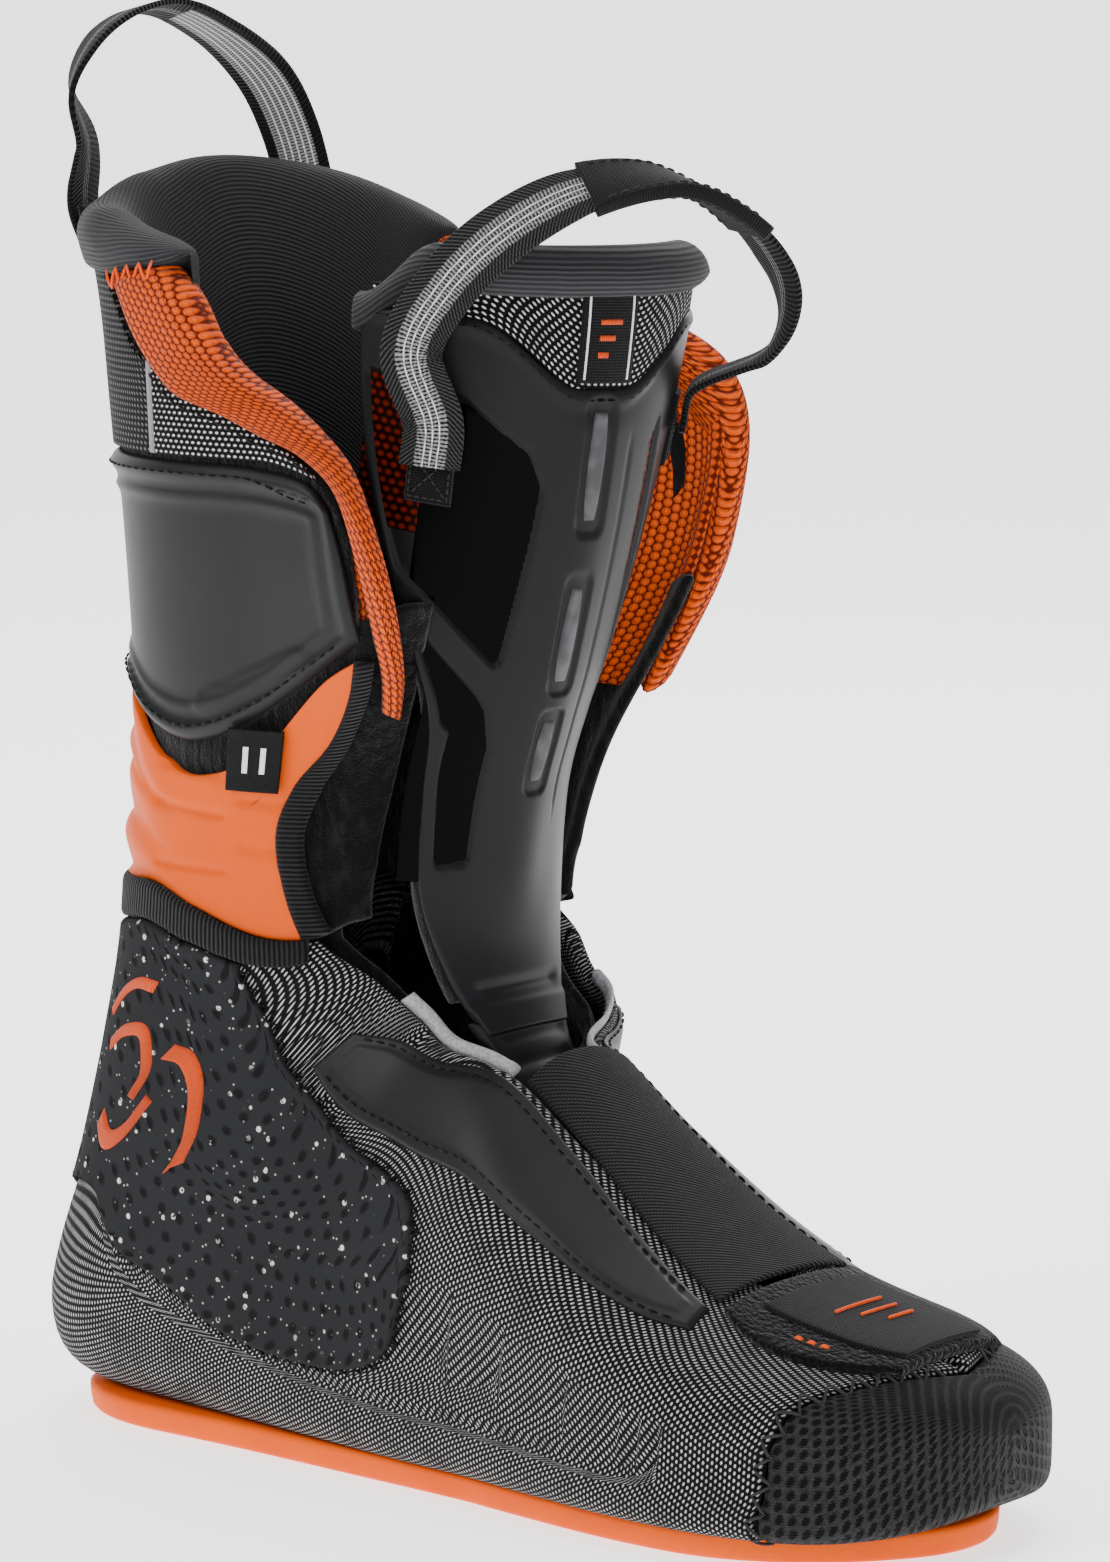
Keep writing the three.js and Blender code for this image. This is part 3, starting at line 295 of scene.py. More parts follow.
def shell(name, surface, path, outer, inner, step=2.5, edge=1.0, lay=False, ring=False, open_s=(0, 0)):
    """A closed piece between two depths of a surface, with rounded edges.
    lay keeps its back face flat on what it is sewn to. ring joins its two sides.
    open_s leaves an end of s square."""
    s0, t0 = np.meshgrid(np.linspace(0, 1, 25), np.linspace(0, 1, 25), indexing="ij")
    rough = surface(*path(s0, t0), 0)
    ls = lengths(rough, 0)[-1].max()
    lt = lengths(rough, 1)[:, -1].max()
    r = min(edge, ls / 2.3, lt / 2.3)
    s = stops(ls, step, 0 if open_s[0] else r, 0 if open_s[1] else r)
    t = stops(lt, step, 0, 0) if ring else stops(lt, step, r, r)
    q = Spots()
    q.s, q.t = np.meshgrid(s, t, indexing="ij")
    q.p, q.q = (np.asarray(v, float) + 0 * q.s for v in path(q.s, q.t))
    flat = surface(q.p, q.q, 0)
    q.v = lengths(flat, 0)
    along = lengths(flat, 1)
    q.u = along - along[:, len(t) // 2][:, None]
    far = np.full_like(q.v, 1e3)
    ends = np.minimum(far if open_s[0] else q.v, far if open_s[1] else q.v[-1][None] - q.v)
    sides = far if ring else np.minimum(along, along[:, -1][:, None] - along)
    q.edge = np.minimum(ends, sides)
    q.ends, q.sides = ends, sides
    share = np.sqrt(np.clip(1 - (1 - np.clip(q.edge / max(r, 1e-6), 0, 1)) ** 2, 0, 1))
    share = np.maximum(share, 0.06)
    out = outer(q) if callable(outer) else outer + 0 * q.s
    back = inner(q) if callable(inner) else inner + 0 * q.s
    if lay:
        out = back + (out - back) * share
    else:
        middle, half = (out + back) / 2, (back - out) / 2 * share
        out, back = middle - half, middle + half
    n, m = q.s.shape
    points = np.concatenate((surface(q.p, q.q, out).reshape(-1, 3), surface(q.p, q.q, back).reshape(-1, 3)))
    ids = np.arange(2 * n * m).reshape(2, n, m)
    a, b = ids
    quads = [
        np.stack((a[:-1, :-1], a[1:, :-1], a[1:, 1:], a[:-1, 1:]), -1).reshape(-1, 4),
        np.stack((b[:-1, :-1], b[:-1, 1:], b[1:, 1:], b[1:, :-1]), -1).reshape(-1, 4),
        np.stack((a[0, :-1], a[0, 1:], b[0, 1:], b[0, :-1]), -1),
        np.stack((a[-1, :-1], b[-1, :-1], b[-1, 1:], a[-1, 1:]), -1),
    ]
    if not ring:
        quads.append(np.stack((a[:-1, 0], b[:-1, 0], b[1:, 0], a[1:, 0]), -1))
        quads.append(np.stack((a[:-1, -1], a[1:, -1], b[1:, -1], b[:-1, -1]), -1))
    quads = np.concatenate(quads)
    place = np.stack((q.u, q.v), -1).reshape(-1, 2)
    weave = np.concatenate((place, place))[quads.ravel()]
    return build(name, points, outward(points, quads, weave)[0], outward(points, quads, weave)[1])


def outward(points, quads, weave):
    """Turns the faces to look outward."""
    a, b, c = (points[quads[:, k]] for k in (0, 1, 2))
    d = points[quads[:, 3]] if quads.shape[1] == 4 else c
    centre = points.mean(0)
    volume = np.sum((a - centre) * np.cross(b - centre, c - centre))
    volume += np.sum((a - centre) * np.cross(c - centre, d - centre))
    if volume >= 0:
        return quads, weave
    size = quads.shape[1]
    return quads[:, ::-1], weave.reshape(-1, size, 2)[:, ::-1].reshape(-1, 2)


def weld(obj):
    """Joins points that meet, such as a ring's two sides."""

    b = bmesh.new()
    b.from_mesh(obj.data)
    bmesh.ops.remove_doubles(b, verts=b.verts, dist=2e-6)
    b.to_mesh(obj.data)
    b.free()
    return obj


def tubes(name, runs, radius, sides=6, flat=1.0):
    """Round threads along runs of points in mm, each drawn to a point at its ends."""
    points, faces = [], []
    turn = np.linspace(0, 2 * math.pi, sides, endpoint=False)
    for run in runs:
        run = np.asarray(run, float)
        along = np.gradient(run, axis=0)
        along /= np.linalg.norm(along, axis=1)[:, None] + 1e-9
        up = np.array((0.02, -0.9, 0.42))
        side = np.cross(along, up)
        side /= np.linalg.norm(side, axis=1)[:, None] + 1e-9
        top = np.cross(side, along)
        taper = np.ones(len(run)) * radius
        taper[0] = taper[-1] = radius * 0.4
        start = len(points)
        for k, c in enumerate(run):
            for v in turn:
                points.append(c + taper[k] * (math.cos(v) * side[k] + math.sin(v) * flat * top[k]))
        for k in range(len(run) - 1):
            for i in range(sides):
                j = (i + 1) % sides
                a = start + k * sides
                faces.append((a + i, a + j, a + sides + j, a + sides + i))
        faces.append(tuple(start + i for i in reversed(range(sides))))
        faces.append(tuple(start + (len(run) - 1) * sides + i for i in range(sides)))
    weave = [(0.0, 0.0)] * sum(len(f) for f in faces)
    return build(name, points, faces, weave)


def seam(name, surface, path, lift, pitch=3.2, length=2.3, radius=0.32, zigzag=0.0, span=(0, 1)):
    """Stitches along a line of a surface. zigzag mm sets them to each side in turn."""
    t = np.linspace(span[0], span[1], 700)
    p, q = path(t)
    p, q = p + 0 * t, q + 0 * t
    at = surface(p, q, -lift)
    run = np.concatenate(([0], np.cumsum(np.linalg.norm(np.diff(at, axis=0), axis=1))))
    out = surface(p, q, -lift - 1) - at
    out /= np.linalg.norm(out, axis=1)[:, None]
    along = np.gradient(at, axis=0)
    along /= np.linalg.norm(along, axis=1)[:, None] + 1e-9
    across = np.cross(out, along)
    take = lambda field, d: np.stack([np.interp(d, run, field[:, k]) for k in range(3)], -1)
    runs = []
    count = int(run[-1] // pitch)
    start = (run[-1] - count * pitch) / 2
    for k in range(count):
        f = np.linspace(0, 1, 6 if not zigzag else 5)
        d = start + k * pitch + f * (pitch if zigzag else length)
        rise = np.sin(np.pi * f)[:, None] * radius * 0.9 - radius * 0.25
        side = 0.0
        if zigzag:
            way = 1 if k % 2 else -1
            side = (way * zigzag * (2 * f - 1))[:, None]
        runs.append(take(at, d) + take(out, d) * rise + take(across, d) * side)
    return tubes(name, runs, radius)


def ribbon(name, points, across, width, thick, steps, span=(0, 1), edge=0.5):
    """A flat strap along points, its width lying along the given directions."""
    path = spline(points, 800)
    lay = np.stack([np.interp(np.linspace(0, 1, 800), np.linspace(0, 1, len(across)), np.array(across, float)[:, k])
                    for k in range(3)], -1)
    for _ in range(60):
        lay[1:-1] = (lay[:-2] + lay[2:]) / 2 * 0.5 + lay[1:-1] * 0.5
    pick = np.linspace(span[0], span[1], steps + 1) * 799
    take = lambda field: np.stack([np.interp(pick, np.arange(800), field[:, k]) for k in range(3)], -1)
    p = take(path)
    along = take(np.gradient(path, axis=0))
    along /= np.linalg.norm(along, axis=1)[:, None]
    w = take(lay)
    w -= along * np.sum(w * along, 1)[:, None]
    w /= np.linalg.norm(w, axis=1)[:, None]
    up = np.cross(along, w)
    h, k = width / 2, thick / 2
    e = min(edge, k * 0.98)
    outline = [(-h + e, -k), (0, -k), (h - e, -k), (h - e * 0.3, -k + e * 0.3), (h, -k + e), (h, k - e),
               (h - e * 0.3, k - e * 0.3), (h - e, k), (0, k), (-h + e, k), (-h + e * 0.3, k - e * 0.3),
               (-h, k - e), (-h, -k + e), (-h + e * 0.3, -k + e * 0.3)]
    m = len(outline)
    at = np.concatenate([p[:, None] + w[:, None] * a + up[:, None] * b for a, b in outline], 1).reshape(-1, 3)
    run = np.concatenate(([0], np.cumsum(np.linalg.norm(np.diff(p, axis=0), axis=1))))
    faces, weave = [], []
    for i in range(steps):
        for j in range(m):
            n = (j + 1) % m
            faces.append((i * m + j, i * m + n, (i + 1) * m + n, (i + 1) * m + j))
            weave += [(outline[j][0], run[i]), (outline[n][0], run[i]),
                      (outline[n][0], run[i + 1]), (outline[j][0], run[i + 1])]
    for first in (0, steps):
        cap = [first * m + j for j in range(m)]
        faces.append(tuple(reversed(cap)) if first == 0 else tuple(cap))
        weave += [(outline[c % m][0], run[first]) for c in faces[-1]]
    return build(name, at, faces, weave)


# ---------------------------------------------------------------- materials
# the studio is bright, so the colours are held down a little
GREY = 0.28
ORANGE = (0.76, 0.5, 0.0)


def colour(code):
    """A colour from its hex code, as the shader wants it."""
    parts = [int(code[k : k + 2], 16) / 255 for k in (1, 3, 5)]
    flat = [p / 12.92 if p <= 0.04045 else ((p + 0.055) / 1.055) ** 2.4 for p in parts]
    if parts[0] - parts[2] < 0.3:
        return [v * (GREY if v < 0.25 else 0.8) for v in flat] + [1.0]
    return [v * k for v, k in zip(flat, ORANGE)] + [1.0]


class Val:
    """A number in a material's node tree."""

    def __init__(self, tree, socket):
        self.tree = tree
        self.socket = socket

    def calc(self, kind, *args):
        node = self.tree.nodes.new("ShaderNodeMath")
        node.operation = kind
        for k, v in enumerate((self,) + args):
            if isinstance(v, Val):
                self.tree.links.new(v.socket, node.inputs[k])
            else:
                node.inputs[k].default_value = v
        return Val(self.tree, node.outputs[0])

    def __add__(self, other):
        return self.calc("ADD", other)

    def __sub__(self, other):
        return self.calc("SUBTRACT", other)

    def __mul__(self, other):
        return self.calc("MULTIPLY", other)

    def __truediv__(self, other):
        return self.calc("DIVIDE", other)

    def over(self, low, high):
        """0 below low, 1 above high, smooth between."""
        node = self.tree.nodes.new("ShaderNodeMapRange")
        node.interpolation_type = "SMOOTHSTEP"
        self.tree.links.new(self.socket, node.inputs["Value"])
        node.inputs["From Min"].default_value = min(low, high)
        node.inputs["From Max"].default_value = max(low, high)
        if low > high:
            node.inputs["To Min"].default_value = 1
            node.inputs["To Max"].default_value = 0
        return Val(self.tree, node.outputs["Result"])


class Look:
    """A procedural material: one colour, then patterns laid over it."""

    def __init__(self, name, base, rough=0.8, **fixed):
        self.mat = bpy.data.materials.new(name)
        self.mat.use_nodes = True
        self.tree = self.mat.node_tree
        self.shader = self.tree.nodes["Principled BSDF"]
        self.colour = None
        self.base = colour(base)
        self.shader.inputs["Base Color"].default_value = self.base
        self.shader.inputs["Roughness"].default_value = rough
        self.rough = rough
        self.shader.inputs["Specular IOR Level"].default_value = 0.07
        for key, value in fixed.items():
            self.shader.inputs[key.replace("_", " ")].default_value = value
        uv = self.tree.nodes.new("ShaderNodeUVMap")
        uv.uv_map = "Weave"
        split = self.tree.nodes.new("ShaderNodeSeparateXYZ")
        self.tree.links.new(uv.outputs[0], split.inputs[0])
        self.u = Val(self.tree, split.outputs[0])
        self.v = Val(self.tree, split.outputs[1])
        self.place = self.tree.nodes.new("ShaderNodeTexCoord").outputs["Object"]

    def noise(self, scale, detail=3, stretch=(1, 1, 1), seed=0.0):
        """Smooth noise over the object, scale in cells per metre."""
        node = self.tree.nodes.new("ShaderNodeTexNoise")
        node.inputs["Scale"].default_value = scale
        node.inputs["Detail"].default_value = detail
        move = self.tree.nodes.new("ShaderNodeMapping")
        move.inputs["Scale"].default_value = stretch
        move.inputs["Location"].default_value = (seed, seed, seed)
        self.tree.links.new(self.place, move.inputs[0])
        self.tree.links.new(move.outputs[0], node.inputs["Vector"])
        return Val(self.tree, node.outputs[0])

    def cells(self, scale, random=1.0, part="Distance"):
        """Distance to scattered points over the object, or a number for each of them."""
        node = self.tree.nodes.new("ShaderNodeTexVoronoi")
        node.inputs["Scale"].default_value = scale
        node.inputs["Randomness"].default_value = random
        self.tree.links.new(self.place, node.inputs["Vector"])
        if part == "Distance":
            return Val(self.tree, node.outputs["Distance"])
        split = self.tree.nodes.new("ShaderNodeSeparateColor")
        self.tree.links.new(node.outputs["Color"], split.inputs[0])
        return Val(self.tree, split.outputs[part])

    def lattice(self, pitch_u, pitch_v, size_u, size_v, shift=0.0):
        """Distance from the nearest of a staggered lattice's points, 1 at the given half sizes."""
        v = self.v / pitch_v + shift
        row = v.calc("FLOOR")
        u = self.u / pitch_u + row * 0.5 + shift
        fu = (u.calc("FRACT") - 0.5) * (pitch_u / size_u)
        fv = (v.calc("FRACT") - 0.5) * (pitch_v / size_v)
        return (fu * fu + fv * fv).calc("SQRT")

    def wave(self, value, pitch):
        """0 to 1 and back over each pitch."""
        return (value * (2 * math.pi / pitch)).calc("SINE") * 0.5 + 0.5

    def paint(self, share, code):
        """Lays a colour over what is there, by share."""
        node = self.tree.nodes.new("ShaderNodeMix")
        node.data_type = "RGBA"
        self.tree.links.new(share.socket, node.inputs[0])
        if self.colour is None:
            node.inputs[6].default_value = self.base
        else:
            self.tree.links.new(self.colour, node.inputs[6])
        node.inputs[7].default_value = colour(code)
        self.colour = node.outputs[2]
        self.tree.links.new(self.colour, self.shader.inputs["Base Color"])
        return self

    def gloss(self, share, rough):
        """Roughness runs to this value by share."""
        value = share * (rough - self.rough) + self.rough
        self.tree.links.new(value.socket, self.shader.inputs["Roughness"])
        return self

    def relief(self, height, mm, strength=1.0):
        """Surface relief: height 0 to 1 stands mm high. Several add up."""
        node = self.tree.nodes.new("ShaderNodeBump")
        node.inputs["Strength"].default_value = strength
        node.inputs["Distance"].default_value = mm * 0.001
        self.tree.links.new(height.socket, node.inputs["Height"])
        linked = self.shader.inputs["Normal"].links
        if linked:
            self.tree.links.new(linked[0].from_socket, node.inputs["Normal"])
        self.tree.links.new(node.outputs[0], self.shader.inputs["Normal"])
        return self


def dotted(name, base, dot, pitch=(1.6, 1.05), size=(0.36, 0.24)):
    """Black mesh with small staggered light dots."""
    look = Look(name, base, 0.85, Sheen_Weight=0.04)
    d = look.lattice(*pitch, *size)
    mask = d.over(1.35, 0.75)
    worn = look.noise(140, 4).over(0.3, 0.55)
    look.paint(look.noise(60, 3).over(0.35, 0.75) * 0.2, "#2f2f31")
    look.paint(mask * (worn * 0.35 + 0.6), dot)
    look.relief(d.over(2.4, 0.4), 0.35)
    return look


def ribbed(name, base, light, pitch, mm, rough=0.8, both=False, along="v"):
    look = Look(name, base, rough, Sheen_Weight=0.07)
    a, b = (look.v, look.u) if along == "v" else (look.u, look.v)
    ribs = look.wave(a + look.noise(90, 2) * 0.5, pitch)
    look.paint(ribs.over(0.35, 1.0) * 0.55, light)
    look.relief(ribs, mm)
    if both:
        look.relief(look.wave(b, pitch * 0.8), mm * 0.6)
    look.relief(look.noise(1500, 2), 0.12, 0.6)
    return look


LOOKS = {}


def looks():
    out = LOOKS
    sole = out["sole"] = Look("sole", "#ff7a17", 0.62)
    sole.paint(sole.noise(45, 4).over(0.35, 0.7) * 0.4, "#f06408")
    sole.relief(sole.cells(900), 0.12, 0.6)
    sole.gloss(sole.noise(120, 3).over(0.3, 0.7), 0.5)

    out["upper_knit"] = dotted("upper_knit", "#1c1c1e", "#bebebc", (1.75, 1.15), (0.42, 0.27))
    out["fine_mesh"] = dotted("fine_mesh", "#161617", "#d2d2d0", (1.9, 1.4), (0.46, 0.3))

    toe = out["toe_knit"] = Look("toe_knit", "#3c3c3e", 0.66, Sheen_Weight=0.03)
    b = toe.lattice(3.6, 3.1, 1.45, 1.25)
    walls = b.over(0.55, 1.0)
    toe.paint(b.over(0.95, 0.45), "#050506")
    toe.paint(walls * toe.noise(900, 2).over(0.35, 0.65) * 0.5, "#5c5c5e")
    toe.relief(walls, 1.3)
    toe.relief(toe.wave(toe.u + toe.v * 0.5, 0.7), 0.1)

    foam = out["moulded_foam"] = Look("moulded_foam", "#46474a", 0.88)
    foam.paint(foam.noise(35, 4).over(0.3, 0.7) * 0.4, "#3d3e41")
    fleck = foam.cells(330).over(0.30, 0.2) * foam.cells(330, part="Red").over(0.80, 0.84)
    fleck = fleck * foam.noise(900, 2).over(0.38, 0.5)
    tiny = foam.cells(900).over(0.33, 0.2) * foam.cells(900, part="Red").over(0.90, 0.93)
    foam.paint(fleck, "#d6d5d2")
    foam.paint(tiny * 0.8, "#bdbcb9")
    pits = foam.lattice(7.4, 6.4, 1.5, 1.5)
    foam.paint(pits.over(1.0, 0.5) * 0.75, "#1b1b1d")
    foam.relief(pits.over(0.5, 1.25), 0.9)
    foam.relief(foam.noise(2200, 2), 0.14)

    grey = out["grey_panel"] = Look("grey_panel", "#2d2e30", 0.42, Specular_IOR_Level=0.16)
    grey.paint(grey.noise(28, 3).over(0.3, 0.75) * 0.55, "#343538")
    grey.relief(grey.noise(2600, 2), 0.05)
    grey.gloss(grey.noise(60, 3).over(0.3, 0.7), 0.45)

    band = out["elastic"] = Look("elastic", "#242426", 0.85, Sheen_Weight=0.06)
    slant = band.u * 0.6 + band.v
    twill = band.wave(slant, 1.15)
    band.paint(twill.over(0.4, 1.0) * 0.6, "#48484a")
    band.relief(twill, 0.3)
    band.relief(band.wave(band.u, 0.8), 0.12)

    fleece = out["black_fleece"] = Look("black_fleece", "#141415", 1.0, Sheen_Weight=0.15,
                                        Sheen_Roughness=0.5)
    pile = fleece.noise(420, 5, (1, 1, 0.35))
    fleece.paint(pile.over(0.45, 0.75) * 0.6, "#3a3a3c")
    fleece.relief(pile, 1.1)
    fleece.relief(fleece.noise(1800, 3), 0.4)

    fuzz = out["fuzz"] = Look("fuzz", "#121213", 1.0, Sheen_Weight=0.18, Sheen_Roughness=0.4)
    fuzz.paint(fuzz.noise(1100, 4).over(0.5, 0.75) * 0.5, "#3c3c3e")
    fuzz.relief(fuzz.noise(700, 5), 1.4)

    out["tape"] = ribbed("tape", "#151516", "#4d4d4f", 1.25, 0.45, along="u")
    out["tape_flat"] = ribbed("tape_flat", "#1d1d1f", "#38383a", 0.7, 0.15, both=True)
    out["collar_knit"] = ribbed("collar_knit", "#454548", "#7c7c80", 1.2, 0.28, 0.78)

    plush = out["plush"] = Look("plush", "#9b9b9e", 1.0, Sheen_Weight=0.15)
    plush.paint(plush.noise(900, 4).over(0.4, 0.65) * 0.5, "#c6c6c8")
    plush.relief(plush.noise(900, 4), 0.7)

    silk = out["orange_thread"] = Look("orange_thread", "#f4640f", 0.45, Sheen_Weight=0.09)
    strands = silk.wave(silk.u, 0.55)
    silk.paint(strands.over(0.5, 0.0) * 0.6, "#b03c04")
    silk.relief(strands, 0.3)

    flex = out["orange_stretch"] = Look("orange_stretch", "#e86c00", 0.5, Sheen_Weight=0.03)
    flex.paint(flex.noise(26, 4).over(0.3, 0.75) * 0.45, "#e06200")
    flex.relief(flex.noise(60, 3), 1.2, 0.5)
    flex.relief(flex.noise(2400, 2), 0.06)

    mesh = out["orange_mesh"] = Look("orange_mesh", "#f26a16", 0.75, Sheen_Weight=0.07)
    knob = mesh.lattice(2.3, 1.75, 1.12, 0.86)
    # the gaps between the knobs are the mesh's holes; their dark red-brown colour is painted shade
    mesh.paint(knob.over(0.72, 1.12), "#5a1a03")
    mesh.paint(mesh.lattice(2.3, 1.75, 1.12, 0.86).over(0.6, 0.0) * 0.4, "#ff8a3c")
    mesh.relief(knob.over(1.2, 0.2), 0.8)
    mesh.relief(mesh.wave(mesh.v, 0.5), 0.12)

    rear = out["rear_mesh"] = Look("rear_mesh", "#171718", 0.85, Sheen_Weight=0.06)
    hole = rear.lattice(1.9, 1.5, 0.5, 0.4)
    rear.paint(hole.over(1.2, 0.7) * 0.5, "#8c8c8b")
    rear.relief(hole.over(0.5, 1.6), 0.5)

    tag = out["tag"] = Look("tag", "#252628", 0.5)
    tag.relief(tag.wave(tag.v, 0.45), 0.08)
    tag.relief(tag.wave(tag.u, 0.45), 0.08)
    tag.paint(tag.noise(300, 2).over(0.4, 0.7) * 0.3, "#303134")

    ink = out["light_thread"] = Look("light_thread", "#e6e6e4", 0.6)
    ink.relief(ink.noise(2500, 2), 0.1)
    cord = out["piping"] = Look("piping", "#8d8e90", 0.6)
    cord.relief(cord.noise(2500, 2), 0.1)

    shield = out["shield"] = Look("shield", "#28292b", 0.4, Specular_IOR_Level=0.11)
    shield.paint(shield.noise(16, 4, (1, 1, 0.3)).over(0.35, 0.7) * 0.5, "#2f3032")
    shield.relief(shield.noise(3000, 2), 0.035)
    shield.gloss(shield.noise(45, 4).over(0.3, 0.7), 0.38)

    film = out["film"] = Look("film", "#030304", 0.16, Specular_IOR_Level=0.03)
    film.gloss(film.noise(40, 3).over(0.4, 0.7), 0.2)
    tint = out["tinted"] = Look("tinted", "#240a06", 0.22, Specular_IOR_Level=0.03)
    seen = tint.lattice(2.6, 2.0, 1.25, 0.95)
    tint.paint(seen.over(1.0, 0.3) * 0.8, "#6a1d08")

    insert = out["insert"] = Look("insert", "#77787a", 0.5)
    insert.paint(insert.noise(120, 3).over(0.4, 0.7) * 0.3, "#8b8c8e")
    insert.relief(insert.noise(2500, 2), 0.05)

    web = out["webbing"] = Look("webbing", "#161617", 0.7, Sheen_Weight=0.06)
    off = web.u.calc("ABSOLUTE")
    twill = web.wave(off * 0.9 + web.v, 1.1)
    web.paint(twill.over(0.55, 0.8) * 0.75, "#737375")
    pick = web.wave(web.v, 0.9)
    web.paint(off.over(4.0, 3.6) * pick.over(0.2, 0.7), "#8e8f91")
    stripe = web.wave(web.u + 0.42, 1.7).over(0.86, 0.96) * off.over(3.1, 2.9)
    web.paint(stripe, "#e4e4e4")
    web.relief(twill, 0.3)
    web.relief(pick, 0.2)

    dark = out["dark_web"] = Look("dark_web", "#0f0f10", 0.85, Sheen_Weight=0.09)
    off = dark.u.calc("ABSOLUTE")
    rib = dark.wave(dark.v + off * 0.4, 1.3)
    dark.paint(rib.over(0.4, 1.0) * 0.5, "#3b3b3d")
    dark.paint(off.over(1.5, 1.2) * dark.wave(dark.u, 1.0).over(0.7, 0.95) * 0.7, "#b9b9b9")
    dark.relief(rib, 0.4)

    grey_web = out["grey_web"] = Look("grey_web", "#141415", 0.65, Sheen_Weight=0.06)
    off = grey_web.u.calc("ABSOLUTE")
    rib = grey_web.wave(grey_web.v + off * 0.5, 1.2)
    grey_web.paint(rib.over(0.4, 1.0) * 0.5, "#444446")
    grey_web.paint(off.over(5.0, 4.6) * grey_web.wave(grey_web.v, 0.8).over(0.0, 0.6), "#9a9b9d")
    grey_web.paint(grey_web.wave(grey_web.u, 1.7).over(0.8, 0.92) * off.over(4.6, 4.4), "#ededed")
    grey_web.relief(rib, 0.3)

    for name, base, rough in (("black_thread", "#0d0d0e", 0.6), ("grey_thread", "#4b4b4d", 0.6)):
        thread = out[name] = Look(name, base, rough, Sheen_Weight=0.06)
        thread.relief(thread.noise(3000, 2), 0.1)
        thread.paint(thread.noise(800, 2).over(0.5, 0.7) * 0.4, "#5a5a5c")

    bed = out["footbed"] = Look("footbed", "#4a4a4d", 1.0, Sheen_Weight=0.09)
    bed.paint(bed.noise(700, 4).over(0.4, 0.7) * 0.5, "#616165")
    bed.relief(bed.noise(900, 4), 0.5)


looks()


def dress(obj, look, body, stands_for=(), bend=None):
    """Gives a piece its material, body and the CAD nodes that it stands for."""
    obj.data.materials.clear()
    obj.data.materials.append(LOOKS[look].mat)
    if bend:
        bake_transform(obj)
    else:
        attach(obj, body)
    if stands_for:
        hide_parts(*([stands_for] if isinstance(stands_for, str) else stands_for))
    return obj


# ---------------------------------------------------------------- foot
def ankle_top(a):
    return 1.955 - 0.175 * smooth((np.abs(a) - 60) / 72) ** 1.3


throat = table([(0.36, 179.4), (0.44, 178), (0.55, 168), (0.8, 161), (0.94, 157), (1.2, 151),
                (1.415, 152), (1.6, 147), (1.78, 131)])
cap_edge = table([(0, 0.29), (79, 0.276), (96, 0.251), (121, 0.226), (142, 0.168), (166, 0.11),
                  (180, 0.085)])


def sole_outline(inset, count=90):
    heel_x = 1 + inset
    toe_x = TOE_X - 4 - inset
    x = mix(heel_x, toe_x, (1 - np.cos(np.linspace(0, math.pi, count))) / 2)
    g = np.where(x > ANKLE_X, (TOE_X - x) / (TOE_X - ANKLE_X),
                 1 + np.arctan((ANKLE_X - x) / (ANKLE_Z - SHELL_Z)) * 2 / math.pi)
    heel = np.maximum(1 - np.maximum((48 - x) / (48 - heel_x), 0) ** 2.3, 0) ** 0.47
    toe = np.maximum(1 - np.maximum((x - toe_x + 62) / 62, 0) ** 2.7, 0) ** 0.45
    shift = np.maximum(1 - g / 0.45, 0) ** 1.5 * 6
    left = shift - (WIDTH_OUT(g) * 0.95 - inset) * heel * toe
    right = shift + (WIDTH_IN(g) * 0.95 - inset) * heel * toe
    return np.vstack((np.stack((x, left), -1), np.stack((x, right), -1)[-2:0:-1]))


def outsole():
    rings = [(8.2, 0), (6.4, 0.25), (5.6, 1.2), (5.2, 3.2), (5.0, 5.2), (5.0, 6.4), (6.1, 7.0)]
    loops = [np.column_stack((sole_outline(i), np.full(len(sole_outline(i)), z))) for i, z in rings]
    n = len(loops[0])
    at = np.concatenate(loops)
    faces, weave = [], []
    for k in range(len(rings) - 1):
        for i in range(n):
            j = (i + 1) % n
            faces.append((k * n + i, k * n + j, (k + 1) * n + j, (k + 1) * n + i))
    faces.append(tuple(reversed(range(n))))
    faces.append(tuple((len(rings) - 1) * n + i for i in range(n)))
    for f in faces:
        weave += [(at[v][0], at[v][1]) for v in f]
    dress(build("sole_sheet", at, faces, weave), "sole", "foot", "outsole")


